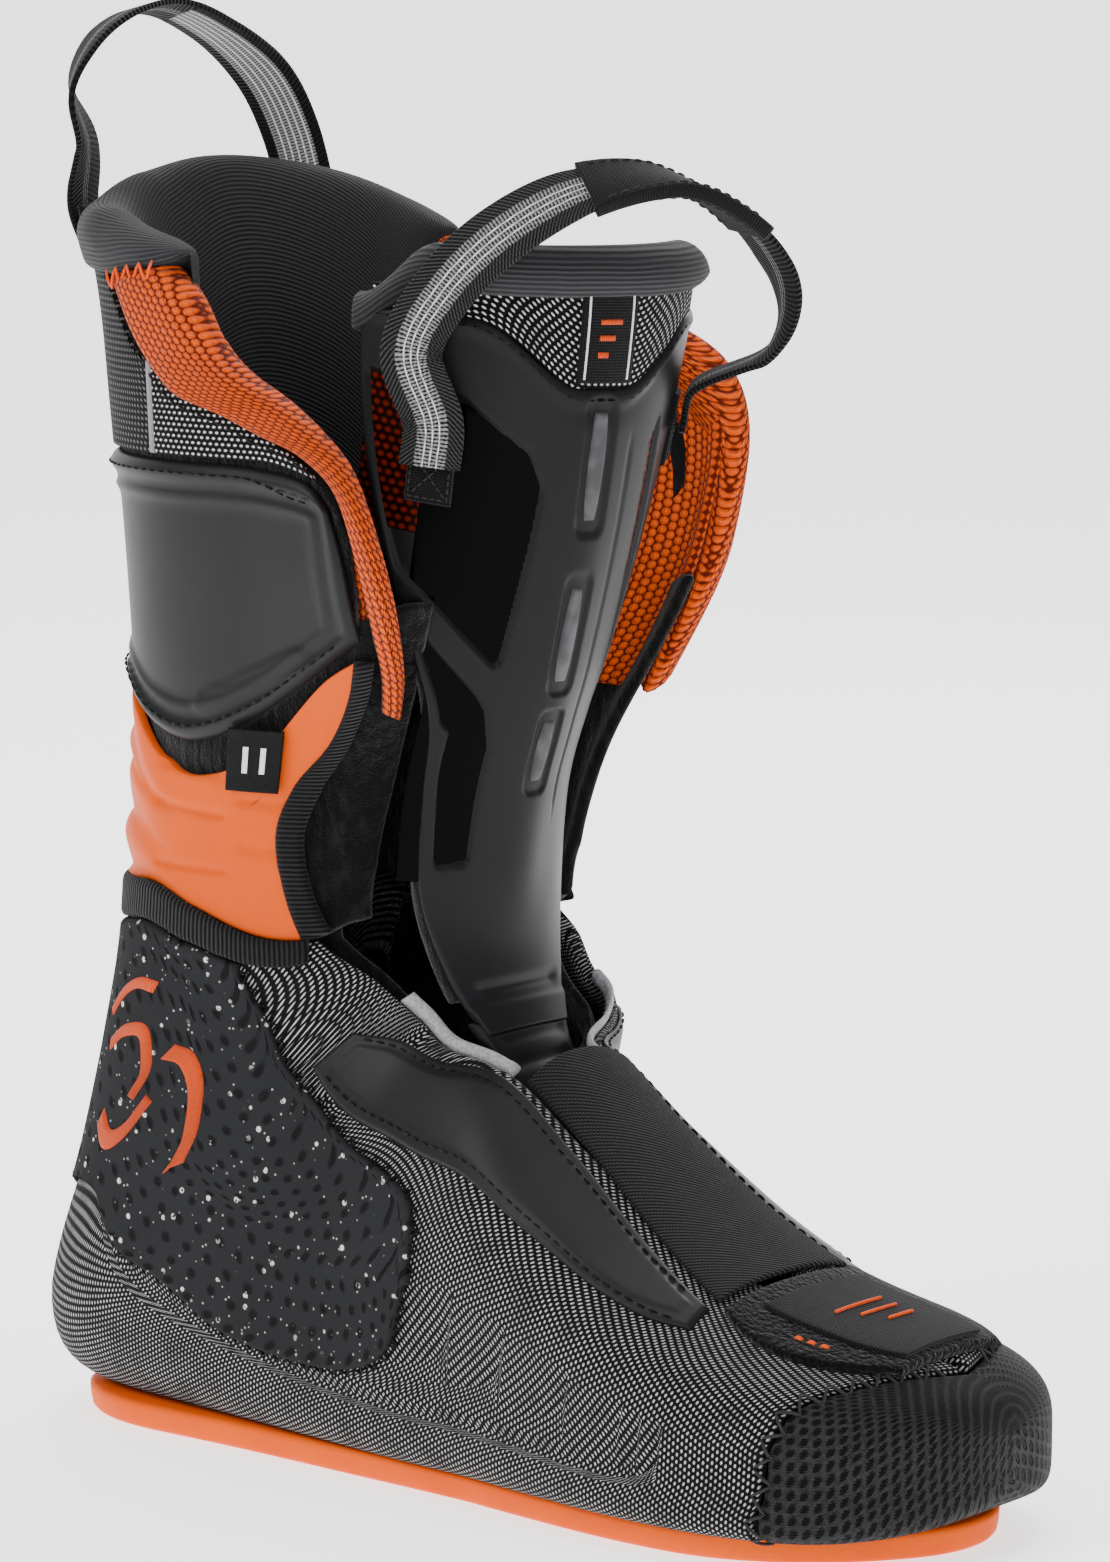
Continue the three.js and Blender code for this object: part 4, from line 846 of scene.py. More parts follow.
def foot():
    outsole()

    def upper(s, t):
        side = 2 * t - 1
        g = mix(cap_edge(np.abs(side) * 180) + GAP * 0.55, ankle_top(side * 131), s)
        return g, side * throat(g)

    dress(shell("upper", boot, upper, 0, 5, 2.6, 2.4), "upper_knit", "foot", "foot_shell")

    def cap(s, t):
        a = t * 360 - 180
        return (cap_edge(np.abs(a)) - GAP * 0.1) * s**1.3, a

    toe = shell("toe_box", boot, cap, 0, 5, 2.2, 2.4, ring=True, open_s=(1, 0))
    dress(weld(toe), "toe_knit", "foot", "toe_cap")
    edge = lambda t: (cap_edge(np.abs(mix(-172, 172, t))) + GAP * 0.2, mix(-172, 172, t))
    dress(seam("toe_whip", boot, edge, 0.1, 3.4, 2.0, 0.4, zigzag=2.6), "grey_thread", "foot")

    # moulded heel pad
    binding_foot = lambda a: ankle_top(a) - BINDING_WIDTH
    pad_low = line([(1.64, 0), (1.63, -35), (1.604, -68), (1.541, -77), (1.453, -82), (1.346, -80),
                    (1.195, -83), (1.06, -91)])
    pad_top = lambda t: (binding_foot(107 * t) - GAP * 0.4, -107 * t)
    pad_front = line([(1.06, -91), (1.1, -109), (1.296, -115), (1.465, -120), (1.63, -117), pad_top(1.0)])
    half = between(pad_low, pad_top, None, pad_front)
    bars = (1.333, 1.29, 1.2)

    def pad_face(q):
        worn = sum(bell((q.p - g) * 150, 1.6) * smooth((3.4 - np.abs(np.abs(q.q) - 88) * 0.8) / 1.2)
                   for g in bars)
        return -2.2 + 0.6 * worn

    pad = shell("heel_cup", boot, around(half, flip(half)), pad_face, -0.1, 1.6, 1.6, lay=True)
    dress(pad, "moulded_foam", "foot", "heel_pad")
    for name, sign in (("outer", 1), ("inner", -1)):
        front = lambda t, sign=sign: (lambda p: (p[0], sign * p[1]))(pad_front(t))
        low = lambda t, sign=sign: (lambda p: (p[0], sign * p[1]))(pad_low(t))
        for part, path in (("front", front), ("low", low)):
            dress(seam(f"heel_zigzag_{part}_{name}", boot, path, 0.9, 2.4, 2.0, 0.33, zigzag=1.8),
                  "black_thread", "foot")

    # instep patches with two rows of stitches
    low = line([(1.5, -124), (1.352, -121), (1.201, -120), (1.063, -119), (0.775, -123), (0.559, -130),
                (0.47, -138)])
    high = line([(1.5, -136), (1.377, -143), (1.176, -145), (0.942, -153), (0.792, -155), (0.63, -154),
                 (0.476, -151)])
    patch = between(low, high)
    face = lambda q: -1.7 - 0.5 * smooth((q.edge - 3.4) / 1.2)
    for name, path, sign in (("outer", patch, 1), ("inner", flip(patch), -1)):
        dress(shell(f"instep_wing_{name}", boot, path, face, -0.1, 1.5, 1.2, lay=True),
              "grey_panel", "foot", f"instep_patch_{name}")
        for k, s0 in enumerate((0.12, 0.88)):
            row = lambda t, p=path, s=s0: p(s, t)
            dress(seam(f"instep_stitch_{name}_{k + 1}", boot, row, 1.9, 3.4, 2.4, 0.3, span=(0.03, 0.97)),
                  "black_thread", "foot")

    def band(s, t):
        g = mix(0.47, 0.94, s)
        side = 180 + high((1.5 - g) / 1.024)[1] - 1.0
        return g, 180 + side * (1 - 2 * t)

    dress(shell("stretch_band", boot, band, -2.6, -1.2, 1.8, 0.9), "elastic", "foot",
          "instep_band")

    def hook(s, t):
        g = mix(0.13, 0.455, s)
        side = 37 * np.sin(math.pi * mix(0.2, 0.72, s)) ** 0.8
        return g, 180 + side * (2 * t - 1)

    dress(shell("fuzzy_patch", boot, hook, -2.9, -0.1, 1.6, 1.6, lay=True), "fuzz", "foot",
          "loop_patch")
    for k, s in enumerate((0.13, 0.17)):
        row = lambda t, s=s: hook(mix(0.35, 0.62, t), 0.9 - s * 0.3 + 0 * t)
        dress(seam(f"patch_dash_{k + 1}", boot, row, 2.9, 3.4, 2.2, 0.34), "orange_thread", "foot")

    def tab(s, t):
        g = mix(0.15, 0.4, s)
        wide = 0.8 + 0.2 * np.sqrt(np.clip(1 - (1 - s / 0.35).clip(0, 1) ** 2, 0, 1))
        return g, 181.5 + 18.5 * wide * (2 * t - 1)

    dress(shell("toe_pull", boot, tab, -4.6, -3.1, 1.5, 0.6), "tape_flat", "tab", "toe_tab")
    for k, (s0, t0, t1) in enumerate(((0.62, 0.3, 0.7), (0.5, 0.3, 0.6), (0.38, 0.3, 0.5))):
        row = lambda t, s=s0, a=t0, b=t1: tab(s + 0 * t, mix(a, b, t))
        dress(seam(f"tab_bar_{k + 1}", boot, row, 4.6, 1.1, 1.0, 0.5), "orange_thread", "tab")

    def facing(s, t):
        g = mix(0.98, 1.5, t)
        return g, -throat(g) - mix(0.4, 5, s)

    for name, path in (("outer", facing), ("inner", flip(facing))):
        dress(shell(f"throat_plush_{name}", boot, path, 0.2, 3.4, 1.5, 1.4), "plush", "foot",
              f"throat_facing_{name}")

    # fleece gusset that fills the sides of the throat
    def gusset(s, t):
        g = mix(1.12, 1.86, t)
        return g, -mix(100, throat(g) + 9, s)

    behind = lambda q: 5.2 + 3.5 * q.s**2
    for name, path in (("outer", gusset), ("inner", flip(gusset))):
        dress(shell(f"throat_gusset_{name}", boot, path, behind, lambda q: behind(q) + 2.4, 2.0, 1.6),
              "black_fleece", "foot")

    def bar(points, wide):
        path = line(points)

        def at(s, t):
            g, a = path(t)
            g2, a2 = path(np.minimum(t + 0.02, 1))
            g1, a1 = path(np.maximum(t - 0.02, 0))
            dg, da = (g2 - g1) * 190, (a2 - a1) * 0.75
            size = np.hypot(dg, da) + 1e-9
            off = wide * (s - 0.5)
            return g + off * (da / size) / 190, a - off * (dg / size) / 0.75

        return at

    for name, points in (
        ("long", [(1.685, -91), (1.655, -96), (1.61, -98), (1.565, -96), (1.54, -91)]),
        ("top", [(1.775, -58), (1.795, -66), (1.8, -75), (1.785, -84)]),
        ("mid", [(1.735, -62), (1.742, -72), (1.72, -83), (1.68, -85), (1.655, -80)]),
        ("low", [(1.66, -65), (1.63, -72), (1.625, -80), (1.64, -87)]),
    ):
        flat = shell(f"satin_bar_{name}", boot, bar(points, 3.1), -2.9, -1.9, 0.8, 1.5, lay=True)
        dress(flat, "orange_thread", "foot", f"heel_bar_{name}")

    def tape(s, t):
        a = mix(-128, 128, t)
        return mix(binding_foot(a), ankle_top(a) + 0.006, s), a

    dress(shell("ankle_tape", boot, tape, -2.3, 0.2, 1.6, 2.4), "tape", "foot", "binding_ankle")


# ---------------------------------------------------------------- ankle
cuff_low = table([(0, 2.25), (40, 2.24), (66, 2.185), (85, 2.17), (102, 2.21), (115, 2.265),
                  (130, 2.335), (142, 2.36)])
border = line([(1.79, -127), (1.88, -122), (1.969, -117.5), (2.056, -113.5), (2.118, -117),
               (2.195, -127), (2.26, -130), (2.315, -130)])
START = (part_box("flex_panel")[0][0], 0.0, 0.139)
END = (START[0], 0.0, 0.205)
FLEX = ("foot", "cuff", START, END)


def groove(q, g0, a0, g1, a1, width=1.1):
    """How far a place is in an embossed line from one place to another, 0 to 1."""
    px, py = (q.p - g0) * 172, (q.q - a0) * 0.75
    dx, dy = (g1 - g0) * 172, (a1 - a0) * 0.75
    f = np.clip((px * dx + py * dy) / (dx * dx + dy * dy), 0, 1)
    return bell(np.hypot(px - f * dx, py - f * dy), width)


def ankle():
    half = between(lambda t: (ankle_top(127 * t) - 0.004, -127 * t),
                   lambda t: (cuff_low(131 * t) + 0.012 + 0.05 * smooth((131 * t - 104) / 20), -131 * t),
                   None, border)

    def face(q):
        a = np.abs(2 * q.t - 1) * 129
        fold = np.abs(np.sin(math.pi * (q.s * 3.5 - 0.2))) * smooth((0.95 - q.s) / 0.3)
        out = -3.2 * fold * smooth((66 - a) / 44)
        out = out - 0.5 * np.sin(q.s * 19 + a * 0.06) * smooth((100 - a) / 50)
        for line_at in ((2.082, 66, 2.072, 93), (2.097, 100, 2.092, 116), (2.031, 101, 2.021, 118),
                        (1.99, 70, 1.985, 96), (2.14, 70, 2.13, 92)):
            g0, a0, g1, a1 = line_at
            for sign in (-1, 1):
                out = out + 0.9 * groove(q, g0, sign * a0, g1, sign * a1)
        for k in range(6):
            g = 2.175 + k * 0.008
            out = out + 0.35 * groove(q, g, -118, g + 0.004, -126, 0.4)
        return out

    panel = shell("ankle_stretch", boot, around(half, flip(half)), face, lambda q: face(q) + 2.2, 1.5, 0.5)
    dress(panel, "orange_stretch", None, "flex_panel", bend=FLEX)

    def sleeve(s, t):
        a = mix(-150, 150, t)
        top = cuff_low(np.abs(a)) + 0.01
        fold = np.minimum(ankle_top(a), 1.79) + 0.008
        low = np.where(np.abs(a) < 127, ankle_top(a) + 0.008, fold + smooth((np.abs(a) - 131) / 12) * 0.02)
        return mix(low, top + 0.03 * smooth((np.abs(a) - 120) / 10), s), a

    lining = shell("ankle_fleece", boot, sleeve, 3.0, 6.6, 2.4, 1.8)
    dress(lining, "black_fleece", None, "ankle_lining", FLEX)

    def edge(s, t):
        g, a = border(t)
        return g, a - mix(-1.5, mix(8, 4.5, smooth((g - 2.1) / 0.12)), s)

    for name, path in (("outer", edge), ("inner", flip(edge))):
        dress(shell(f"front_tape_{name}", boot, path, -1.4, 2.6, 1.2, 2.2), "tape", None,
              f"binding_front_{name}", bend=FLEX)


# ---------------------------------------------------------------- cuff
EDGE_IN = line([(2.845, -60), (2.74, -70), (2.68, -80), (2.655, -90), (2.625, -100), (2.6, -110),
                (2.55, -119), (2.456, -126), (2.35, -133), (2.29, -137), (2.235, -139)])
EDGE_OUT = line([(2.86, -78), (2.815, -85), (2.745, -91), (2.71, -97), (2.68, -105), (2.64, -114),
                 (2.585, -123), (2.48, -132), (2.37, -139.5), (2.28, -144), (2.225, -145)])
EDGE_IN_M = line([(2.845, 64), (2.83, 78), (2.805, 90), (2.77, 102), (2.73, 112), (2.675, 121),
                  (2.6, 130), (2.5, 134), (2.4, 136), (2.31, 137.5), (2.235, 139)])
EDGE_OUT_M = line([(2.885, 82), (2.87, 92), (2.84, 102), (2.805, 111), (2.765, 119), (2.71, 129),
                   (2.63, 137), (2.52, 142.5), (2.4, 145), (2.3, 146), (2.225, 146)])
ABOVE = 2.592
BACK_TOP = 2.845


def cuff():
    def foam_top(edge, corner, share):
        def at(t):
            a = corner * t / 0.3
            e = edge(share * (np.maximum(t, 0.3) - 0.3) / 0.7)
            return np.where(t > 0.3, e[0], BACK_TOP), np.where(t > 0.3, e[1], a)

        return at

    low_of = lambda sign: lambda t: (cuff_low(130 * t) + 0.008, sign * 130 * t)
    foam = around(between(low_of(-1), foam_top(EDGE_IN, -60, 0.76)),
                  between(low_of(1), foam_top(EDGE_IN_M, 64, 0.8)))
    dress(shell("cuff_core", boot, foam, 1.6, 8.6, 4, 2.5), "black_fleece", "cuff",
          "cuff_foam")

    # smooth moulded panel: a raised rim round a flat field
    field = between(lambda t: (cuff_low(130 * t) + 0.008, -130 * t),
                    line([(2.585, 0), (2.585, -40), (2.583, -80), (2.58, -100), (2.562, -113), (2.53, -118)]),
                    None, line([(2.343, -130), (2.4, -126), (2.47, -122), (2.53, -118)]))

    def face(q):
        rim = bell(q.edge - 3.0, 1.9)
        ridge = bell(q.edge - 8.5, 1.0)
        strip = 0.0
        for sign in (-1, 1):
            strip = strip + groove(q, 2.235, sign * 89, 2.31, sign * 113, 3.4)
        middle = 0.3 * smooth((q.edge - 9) / 3)
        return 0.2 - 1.5 * rim - 0.6 * ridge + middle - 0.5 * smooth((strip - 0.35) / 0.2)

    dress(shell("cuff_plate", boot, around(field, flip(field)), face, 1.3, 1.3, 1.2, lay=True),
          "grey_panel", "cuff", "cuff_panel")
    for name, sign in (("outer", -1), ("inner", 1)):
        top = lambda t, sign=sign: (2.568 - 0.03 * smooth((mix(20, 114, t) - 96) / 18),
                                    sign * mix(20, 114, t))
        low = lambda t, sign=sign: (cuff_low(mix(20, 124, t)) + 0.032, sign * mix(20, 124, t))
        for part, path in (("top", top), ("low", low)):
            dress(seam(f"plate_stitch_{part}_{name}", boot, path, 1.2, 3.6, 2.7, 0.33), "black_thread",
                  "cuff")

    def mesh_low(sign, a0, a1):
        return lambda t: (ABOVE - smooth((mix(a0, a1, t) - 100) / 25) * 0.035, sign * mix(a0, a1, t))

    side = between(mesh_low(-1, 73, 116), line([(2.73, -73), (2.685, -82), (2.66, -90), (2.63, -100),
                                               (2.6, -109), (2.565, -116)]))
    dress(shell("side_mesh_outer", boot, side, -0.3, 1.3, 1.8, 0.6), "fine_mesh", "cuff",
          "mesh_panel_outer")
    side_m = between(mesh_low(1, 73, 122), line([(2.84, 73), (2.815, 88), (2.775, 100), (2.728, 111),
                                                 (2.66, 119), (2.58, 123)]))
    dress(shell("side_mesh_inner", boot, side_m, -0.3, 1.3, 1.8, 0.6), "fine_mesh", "cuff",
          "mesh_panel_inner")

    def rear(s, t):
        a = (2 * t - 1) * 72.5
        top = np.where(a < 0, mix(2.85, 2.73, smooth((-a - 50) / 19)),
                       mix(2.85, 2.835, smooth((a - 52) / 19)))
        return mix(ABOVE, top, s), a

    dress(shell("rear_net", boot, rear, -0.2, 1.3, 2.4, 0.6), "rear_mesh", "cuff", "rear_panel")
    for name, sign, top in (("outer", -1, 2.725), ("inner", 1, 2.83)):
        path = lambda s, t, sign=sign, top=top: (mix(ABOVE, top, t), sign * mix(71.9, 73.5, s))
        dress(shell(f"side_piping_{name}", boot, path, -0.9, 1.2, 1.2, 0.6), "piping", "cuff",
              f"piping_{name}")

    # padded edges in spacer mesh
    shift = lambda edge, off: lambda t: (edge(t)[0] + off, edge(t)[1])

    def pad_in(q):
        return 9.6 - 5.5 * smooth((q.t - 0.6) / 0.2)

    def pad_out(q):
        return -3.4 - 0.8 * np.sin(math.pi * q.s) + 0.15 * np.sin(q.v * 0.3 + q.t * 40)

    for name, e_in, e_out in (("outer", EDGE_IN, EDGE_OUT), ("inner", EDGE_IN_M, EDGE_OUT_M)):
        path = between(shift(e_in, 0.002), e_out)
        dress(shell(f"edge_roll_{name}", boot, path, pad_out, pad_in, 1.3, 5.5), "orange_mesh", "cuff",
              f"edge_pad_{name}")
        sign = -1 if name == "outer" else 1
        tip = lambda t, path=path: path(t, 0.015 + 0 * t)
        dress(seam(f"edge_tip_{name}", boot, tip, 2.9, 2.6, 2.0, 0.4, zigzag=2.6), "orange_thread", "cuff")
        border_at = lambda t, e=e_in, sign=sign: (e(t)[0] - 0.006, e(t)[1] - sign * 0.8)
        dress(seam(f"edge_stitch_{name}", boot, border_at, 0.5, 3.2, 2.4, 0.3, span=(0.06, 0.86)),
              "black_thread", "cuff")

    def face_of(e_in, e_out, sign):
        def at(s, t):
            g0, a0 = e_out(mix(0.3, 0.99, t))
            g1, a1 = e_in(mix(0.3, 0.97, t))
            return mix(g0 - 0.012, g1 - 0.03, s), mix(a0, a1 - sign * 34, s)

        return at

    # the facing comes forward to meet the padded edge
    face_top = lambda q: 8.9 - 5.6 * smooth((q.t - 0.3) / 0.25) * smooth((0.4 - q.s) / 0.3)
    for name, e_in, e_out, sign in (("outer", EDGE_IN, EDGE_OUT, -1), ("inner", EDGE_IN_M, EDGE_OUT_M, 1)):
        dress(shell(f"flap_inside_{name}", boot, face_of(e_in, e_out, sign), face_top,
                    lambda q: face_top(q) + 2.7, 2.0, 2.4), "orange_mesh", "cuff",
              f"flap_facing_{name}")

    collar()
    tag = lambda s, t: (mix(2.112, 2.205, s), -mix(96, 112, t))
    dress(shell("side_tag", boot, tag, -2.2, -0.9, 1.2, 0.4), "tag", None, "size_tag", bend=FLEX)
    for k, t0 in enumerate((0.3, 0.62)):
        mark = lambda s, t, t0=t0: tag(mix(0.3, 0.72, s), mix(t0, t0 + 0.1, t))
        dress(shell(f"tag_bar_{k + 1}", boot, mark, -2.45, -2.1, 1.0, 0.3), "light_thread", None,
              bend=FLEX)


def collar():
    """One padded form: up the outside, over the rim and down the inside."""
    rim = table([(-84, 2.885), (-60, 2.92), (-50, 2.935), (-40, 2.935), (-20, 2.945), (0, 2.975), (20, 2.995),
                 (40, 2.99), (60, 2.965), (80, 2.91), (90, 2.87)])
    n, m = 64, 150
    v, t = np.meshgrid(np.linspace(0, 1, n, endpoint=False), np.linspace(0, 1, m), indexing="ij")
    a = mix(-82, 84, t)
    top = rim(a)
    outer_low = BACK_TOP + np.where(a < 0, 0.012 * smooth((-56 - a) / 20), 0.034 * smooth((a - 62) / 18))
    inner_low = 2.34 + 0.3 * smooth((np.abs(a) - 66) / 20)
    depth_out, depth_in = -2.2, 12.6
    # the section: outside up, over the top, inside down, and back up behind the face
    roll = np.minimum(0.042, 0.55 * (top - outer_low))
    key = np.array([0, 0.12, 0.17, 0.22, 0.27, 0.32, 0.37, 0.62, 0.66, 0.68, 0.74, 0.96])
    gs = [outer_low, top - roll, top - roll * 0.42, top - roll * 0.05, top, top - roll * 0.12, top - roll * 0.6,
          inner_low + 0.02, inner_low, inner_low, outer_low - 0.005, outer_low - 0.004]
    ds = [depth_out, depth_out - 0.8, depth_out + 1.0, 2.0, 5.0, 9.0, depth_in, depth_in - 0.6, depth_in - 1.2,
          9.6, 9.2, 0.6]
    share = (v * 0.99)[:, 0]
    g = np.empty((n, m))
    d = np.empty((n, m))
    for j in range(m):
        rows_g = [k[0, j] for k in gs]
        g[:, j] = np.interp(share, key, rows_g)
        d[:, j] = np.interp(share, key, ds)
    for _ in range(3):
        g = (np.roll(g, 1, 0) + g * 2 + np.roll(g, -1, 0)) / 4
        d = (np.roll(d, 1, 0) + d * 2 + np.roll(d, -1, 0)) / 4
    ends = np.minimum(t, 1 - t) * 166 * 0.9
    swell = np.sqrt(np.clip(1 - (1 - np.clip(ends / 9, 0, 1)) ** 2, 0, 1)) * 0.96 + 0.04
    gm, dm = 0.62 * top + 0.38 * outer_low, 5.0
    g = gm + (g - gm) * swell
    d = dm + (d - dm) * swell
    at = boot(g, a, d)
    ids = np.arange(n * m).reshape(n, m)
    nxt = np.roll(ids, -1, 0)
    quads = np.stack((ids[:, :-1], nxt[:, :-1], nxt[:, 1:], ids[:, 1:]), -1).reshape(-1, 4)
    run = lengths(np.concatenate((at, at[:1])), 0)
    uv = np.stack((np.broadcast_to(a * 0.9, (n, m)), run[:-1]), -1)
    uv_next = np.stack((np.broadcast_to(a * 0.9, (n, m)), run[1:]), -1)
    weave = np.stack((uv[:, :-1], uv_next[:, :-1], uv_next[:, 1:], uv[:, 1:]), -2).reshape(-1, 2)
    faces, weave = outward(at.reshape(-1, 3), quads, weave)
    faces = [tuple(f) for f in faces]
    weave = list(map(tuple, weave))
    for j in (0, m - 1):
        cap = tuple(ids[:, j]) if j else tuple(ids[::-1, j])
        faces.append(cap)
        weave += [(0.0, 0.0)] * n
    roll_obj = build("collar_roll", at.reshape(-1, 3), faces, weave)
    dress(roll_obj, "collar_knit", "cuff", ("collar", "collar_lining"))


# ---------------------------------------------------------------- tongue
CREASE_U = 4.45
SHELL = 2.2
LONG = np.linspace(0, 14, 500)
RUN = np.concatenate(([0], np.cumsum(np.hypot(np.diff(TONGUE_X(LONG)), np.diff(TONGUE_Z(LONG))))))


def inside(q, corners, soft, round_mm=1.6):
    """1 inside a rounded outline of (u, w) corners on the tongue, 0 outside, soft mm between."""
    px, py = q.q, np.interp(q.p, LONG, RUN)
    pts = np.array([(w, np.interp(u, LONG, RUN)) for u, w in corners])
    best = np.full(px.shape, 1e9)
    hit = np.zeros(px.shape, bool)
    for (x0, y0), (x1, y1) in zip(pts, np.roll(pts, -1, 0)):
        dx, dy = x1 - x0, y1 - y0
        f = np.clip(((px - x0) * dx + (py - y0) * dy) / (dx * dx + dy * dy), 0, 1)
        best = np.minimum(best, np.hypot(px - x0 - f * dx, py - y0 - f * dy))
        crosses = ((y0 > py) != (y1 > py)) & (px < dx * (py - y0) / (dy + 1e-12) + x0)
        hit ^= crosses
    far = np.where(hit, -best, best) - round_mm
    return smooth(0.5 - far / soft)


def shrink(corners, mm):
    """Draws corners in towards their middle, so that rounding brings the outline back."""
    mid_u = sum(u for u, _ in corners) / len(corners)
    mid_w = sum(w for _, w in corners) / len(corners)
    return [(u - np.sign(u - mid_u) * mm * 0.045, w - np.sign(w - mid_w) * mm) for u, w in corners]


def shield_top(w):
    return 11.25 + 0.75 * smooth((np.abs(w) - 6) / 30)


HIGH = [(8.95, -18.3), (9.8, -15), (10.43, -13.6), (10.68, -17.5), (11.05, -34), (11.15, -48), (11.2, -66),
        (9.95, -66), (9.45, -41)]
LOW = [(6.33, -17), (7.78, -16.4), (8.3, -19.3), (8.5, -22), (9.2, -42), (9.4, -60), (6.9, -60), (6.55, -31),
       (6.3, -23)]
STRUT = [(7.0, -28.2), (7.95, -28), (8.25, -34.5), (8.7, -60), (7.9, -60), (7.45, -40)]
SLOT_R = [(8.2, 27), (9.6, 23), (10.7, 21.5), (10.9, 25), (9.7, 28)]
SLOTS = [(10.1, 11.05), (8.75, 9.65), (7.2, 8.2)]


def tongue_parts():
    round_at = lambda u, inset, t: mix(inset - TONGUE_WING(u), TONGUE_HALF(u) - inset, t)
    sweep = lambda u0, u1, inset: lambda s, t: (mix(u0, u1, s), round_at(mix(u0, u1, s), inset, t))
    low = CREASE_U - 0.05
    high = low + 1.6 / 17
    place = lambda u: tuple(to_row(tongue(u, 0, 0))[0])
    turn = ("foot", "tongue", place(low - 0.25), place(low + 1.5))

    def base_face(q):
        fade = smooth((0.86 - np.abs(2 * q.t - 1)) / 0.2)
        return 0.9 * sum(bell((q.p - u) * 18, 1.3) * fade for u in (3.78, 4.14))

    dress(shell("tongue_root", tongue, sweep(0, low + 0.02, 0), base_face, 4, 1.6, 1.6), "shield", "foot",
          "tongue_base")

    def plate(s, t):
        u = mix(high - 0.3, shield_top(mix(-63, 46, t)), s)
        return u, round_at(u, 1.5 + 1.5 * smooth((u - 6) / 3), t)

    def plate_face(q):
        window = np.maximum(inside(q, shrink(HIGH, 1.6), 1.4), inside(q, shrink(LOW, 1.6), 1.4))
        window = window * (1 - inside(q, shrink(STRUT, 1.6), 1.2))
        window = window * smooth((q.q + TONGUE_WING(q.p) - 3 - 2.0) / 1.0)
        slot = inside(q, SLOT_R, 1.4, 0.3)
        cups = np.zeros(q.p.shape)
        for u0, u1 in SLOTS:
            box = [(u0, -1.6), (u1, -1.6), (u1, 1.6), (u0, 1.6)]
            cups = np.maximum(cups, inside(q, box, 1.2, 2.6))
        crest = bell(q.q, 9) * smooth((q.p - 5.2) / 1.2) * smooth((11.2 - q.p) / 0.4)
        lines = bell(q.q - 11.5, 0.7) * smooth((q.p - 6.6) / 0.4) * smooth((10.9 - q.p) / 0.3)
        dents = bell((q.p - 4.78) * 18, 1.4) * smooth((0.86 - np.abs(2 * q.t - 1)) / 0.25)
        bend = 0.5 * bell((q.p - 5.6) * 18, 7) * np.sin(q.t * 7)
        roll = 0.7 * bell((q.s - 1) * 150 + 2.5, 1.6)
        lap = 0.8 * smooth((high + 0.15 - q.p) / 0.12)
        return (1.35 * window + 1.2 * slot + 0.9 * cups - 1.4 * crest + 0.4 * lines + 0.9 * dents + bend * 0.4
                - roll - lap)

    def plate_back(q):
        return plate_face(q) * 0.15 + SHELL + 0.4

    dress(shell("tongue_plate", tongue, plate, plate_face, plate_back, 0.9, 0.8), "shield", None,
          "tongue_shield", bend=turn)

    glass = lambda u0, u1, w0, w1: lambda s, t: (mix(u0, u1, s), mix(w0, w1, t))
    for name, look, area in (
        ("window_film_high_outer", "film", (8.8, 11.0, -44, -12.5)),
        ("window_side_high_outer", "tinted", (9.9, 11.25, -61, -43.8)),
        ("window_film_low_outer", "film", (6.15, 9.3, -35.5, -14.5)),
    ):
        node = name.replace("window_film", "window").replace("window_side", "window")
        dress(shell(name, tongue, glass(*area), 1.05, 1.5, 2, 0.3), look, "tongue", node)
    for name, area in (
        ("window_film_high_inner", (9.2, 11.0, 20, 36)),
        ("window_film_low_inner", (7.9, 9.3, 22, 33)),
    ):
        node = name.replace("window_film", "window")
        dress(shell(name, tongue, glass(*area), 1.05, 1.5, 2, 0.3), "tinted", "tongue", node)

    for k, (u0, u1) in enumerate(SLOTS):
        def bead(s, t, u0=u0, u1=u1):
            end = np.sin(math.pi * mix(0.07, 0.93, s)) ** 0.3
            return mix(u0 + 0.03, u1 - 0.03, s), 2.6 * end * (2 * t - 1)

        face = lambda q: -1.2 - 0.1 * np.cos((q.t - 0.5) * math.pi)
        dress(shell(f"light_bar_{k + 1}", tongue, bead, face, 1.6, 0.8, 1.3), "insert", "tongue",
              f"shield_insert_{k + 1}")

    dress(shell("tongue_pad", tongue, sweep(high + 0.2, 12.15, 1.0), 2.5, 8.5, 2.6, 2.8), "black_fleece", None,
          "tongue_foam", turn)

    def face_mesh(s, t):
        w = mix(-62.5, 48.5, t)
        return mix(shield_top(mix(-63, 46, t)) - 0.05, 12.42, s), w

    dress(shell("tongue_net", tongue, face_mesh, 0.5, 2.3, 1.6, 0.5), "fine_mesh", "tongue",
          "tongue_mesh")
    label = lambda s, t: (mix(11.3, 12.42, s), 8.2 * (2 * t - 1))
    dress(shell("tongue_tag", tongue, label, -0.4, 0.7, 1.2, 0.3), "tape_flat", "tongue", "tongue_label")
    for k, w in enumerate((-6.4, 6.4)):
        fine = lambda s, t, w=w: (mix(11.34, 12.38, s), w + 0.3 * (2 * t - 1))
        dress(shell(f"label_line_{k + 1}", tongue, fine, -0.62, 0.2, 1.2, 0.15), "light_thread", "tongue")
    for k, (u0, w0, w1) in enumerate(((11.98, -3.2, 3.2), (11.78, -3.2, 1.4), (11.58, -3.2, -0.2))):
        dash = lambda s, t, u0=u0, w0=w0, w1=w1: (mix(u0, u0 + 0.07, s), mix(w0, w1, t))
        dress(shell(f"label_bar_{k + 1}", tongue, dash, -0.8, 0.2, 0.6, 0.5), "orange_thread", "tongue")

